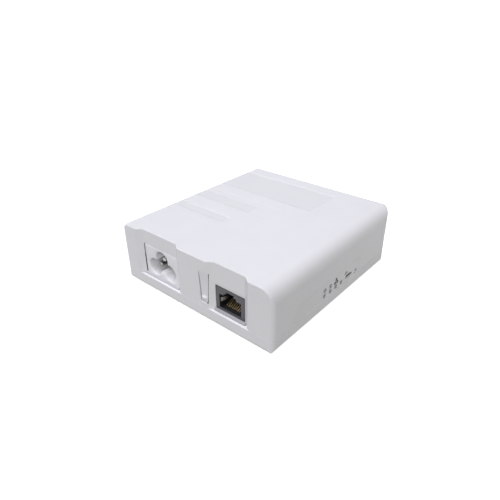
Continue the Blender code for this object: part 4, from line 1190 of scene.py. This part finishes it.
def wound(name, colour, pitch_mm, direction, roughness, metallic):
    s = Shader(name, colour, roughness, metallic)
    w = s.node("ShaderNodeTexWave", wave_type="BANDS", bands_direction=direction)
    w.inputs["Scale"].default_value = 0.314 / (pitch_mm * MM)
    w.inputs["Distortion"].default_value = 0.6
    s.link(s.space, w.inputs["Vector"])
    s.tint(s.noise(2.0, 3.0), 0.85, 1.12)
    s.shade(w.outputs["Fac"], tuple(c * 0.45 for c in colour), 0.35, 0.0)
    s.bump(w.outputs["Fac"], 0.08)
    return s.mat


EPOXY = moulded("part_black", (0.020, 0.020, 0.021), 0.52, grain_mm=0.2, grain_height=0.01, variation=0.15)
finish(["circuit_board"], board_finish())
finish(["fuse", "bridge_rectifier", "power_transistor", "output_rectifier", "ethernet_transformer", "network_chip", "poe_controller",
        "memory_chip", "reset_switch_body"], EPOXY)
finish(["x_capacitor"], moulded("part_yellow", (0.62, 0.45, 0.05), 0.38, grain_mm=0.4, grain_height=0.008, variation=0.06))
finish(["varistor", "y_capacitor"], moulded("part_blue", (0.03, 0.10, 0.38), 0.28, grain_mm=1.2, grain_height=0.03, variation=0.08))
finish(["line_choke_core", "transformer_core"], moulded("ferrite", (0.035, 0.033, 0.033), 0.62, grain_mm=0.25, grain_height=0.02, variation=0.2))
finish(["line_choke_winding_left", "line_choke_winding_right"], wound("copper", (0.62, 0.24, 0.09), 0.8, "Y", 0.28, 1.0))
finish(["transformer_winding"], wound("winding_tape", (0.62, 0.46, 0.05), 3.0, "Z", 0.4, 0.0))
finish(["bulk_capacitor", "output_capacitor_1", "output_capacitor_2"],
       moulded("can_sleeve", (0.02, 0.025, 0.06), 0.30, grain_mm=2.0, grain_height=0.02, variation=0.1))
finish(["heat_sink", "crystal_can"], metal("bare_aluminium", (0.62, 0.63, 0.64), 0.32, (1.0, 0.1, 1.0), 0.002))
finish(["status_lamp_%d" % (i + 1) for i in range(4)], moulded("lamp_body", (0.70, 0.67, 0.55), 0.35, grain_mm=0.3, grain_height=0.004))
finish(["case_screw_%d" % (i + 1) for i in range(4)], STEEL)
for n in ("bridge_rectifier", "network_chip", "memory_chip", "poe_controller", "ethernet_transformer", "transformer_core"):
    bevel_node(n, 0.15)

# ------------------------------------------------------------------------------------------------------------------
# Studio: pale floor, soft light, camera
# ------------------------------------------------------------------------------------------------------------------


def stage_floor():
    """Backlit white sweep: it stays white under the part and throws no light back up onto its sides."""
    me = bpy.data.meshes.new("floor")
    s = 30.0
    me.from_pydata([(-s, -s, 0), (s, -s, 0), (s, s, 0), (-s, s, 0)], [], [(0, 1, 2, 3)])
    obj = bpy.data.objects.new("floor", me)
    bpy.context.scene.collection.objects.link(obj)
    m = bpy.data.materials.new("floor_paper")
    m.use_nodes = True
    b = m.node_tree.nodes["Principled BSDF"]
    b.inputs["Base Color"].default_value = (0.45, 0.45, 0.45, 1.0)
    b.inputs["Roughness"].default_value = 0.9
    b.inputs["Specular IOR Level"].default_value = 0.0
    b.inputs["Emission Color"].default_value = (1.0, 1.0, 1.0, 1.0)
    b.inputs["Emission Strength"].default_value = 0.86
    me.materials.append(m)
    obj.visible_diffuse = False


stage_floor()


def sun(name, direction, strength, angle, colour=(1, 1, 1)):
    """Soft light that comes from a direction; strength 1 lights a white surface facing it to full white."""
    data = bpy.data.lights.new(name, "SUN")
    data.energy = strength * math.pi
    data.angle = math.radians(angle)
    data.color = colour
    obj = bpy.data.objects.new(name, data)
    bpy.context.scene.collection.objects.link(obj)
    obj.rotation_euler = Vector(direction).normalized().to_track_quat("Z", "Y").to_euler()
    return obj


sun("key", (-0.17, -0.175, 0.59), 0.630, 38, (0.985, 0.985, 1.09))
sun("back_fill", (-0.62, 0.68, 0.40), 0.22, 30, (0.985, 0.985, 1.06)).visible_glossy = False
sun("front_fill", (0.57, -0.655, 0.5), 0.455, 30, (1.0, 1.0, 1.0)).visible_glossy = False

world = bpy.data.worlds.new("studio")
bpy.context.scene.world = world
world.use_nodes = True
bg = world.node_tree.nodes["Background"]
bg.inputs["Color"].default_value = (1.0, 1.0, 1.0, 1.0)
bg.inputs["Strength"].default_value = 0.215
sky = world.node_tree.nodes.new("ShaderNodeBackground")
sky.inputs["Color"].default_value = (1.0, 1.0, 1.0, 1.0)
sky.inputs["Strength"].default_value = 1.0
seen = world.node_tree.nodes.new("ShaderNodeLightPath")
pick = world.node_tree.nodes.new("ShaderNodeMixShader")
world.node_tree.links.new(seen.outputs["Is Camera Ray"], pick.inputs[0])
world.node_tree.links.new(bg.outputs["Background"], pick.inputs[1])
world.node_tree.links.new(sky.outputs["Background"], pick.inputs[2])
world.node_tree.links.new(pick.outputs["Shader"], world.node_tree.nodes["World Output"].inputs["Surface"])

cam = bpy.data.cameras.new("camera")
cam.sensor_fit = "HORIZONTAL"
cam.sensor_width = 36.0
cam.lens = 33.1592
cam.clip_start = 0.005
cam.clip_end = 100.0
camera = bpy.data.objects.new("camera", cam)
bpy.context.scene.collection.objects.link(camera)
bpy.context.scene.camera = camera
AZ, EL, ROLL = math.radians(40.4276), math.radians(29.9430), math.radians(-0.3518)
back_v = Vector((math.sin(AZ) * math.cos(EL), -math.cos(AZ) * math.cos(EL), math.sin(EL)))
right_v = (-back_v).cross(Vector((0, 0, 1))).normalized()
up_v = right_v.cross(-back_v)
right_r = right_v * math.cos(ROLL) + up_v * math.sin(ROLL)
up_r = -right_v * math.sin(ROLL) + up_v * math.cos(ROLL)
rot = Matrix((right_r, up_r, back_v)).transposed().to_4x4()
camera.matrix_world = Matrix.Translation(Vector((126.925, -158.838, 127.766)) * MM) @ rot

scene = bpy.context.scene
scene.view_settings.view_transform = "Standard"
scene.view_settings.look = "None"
scene.view_settings.exposure = 0.0
scene.view_settings.gamma = 1.0
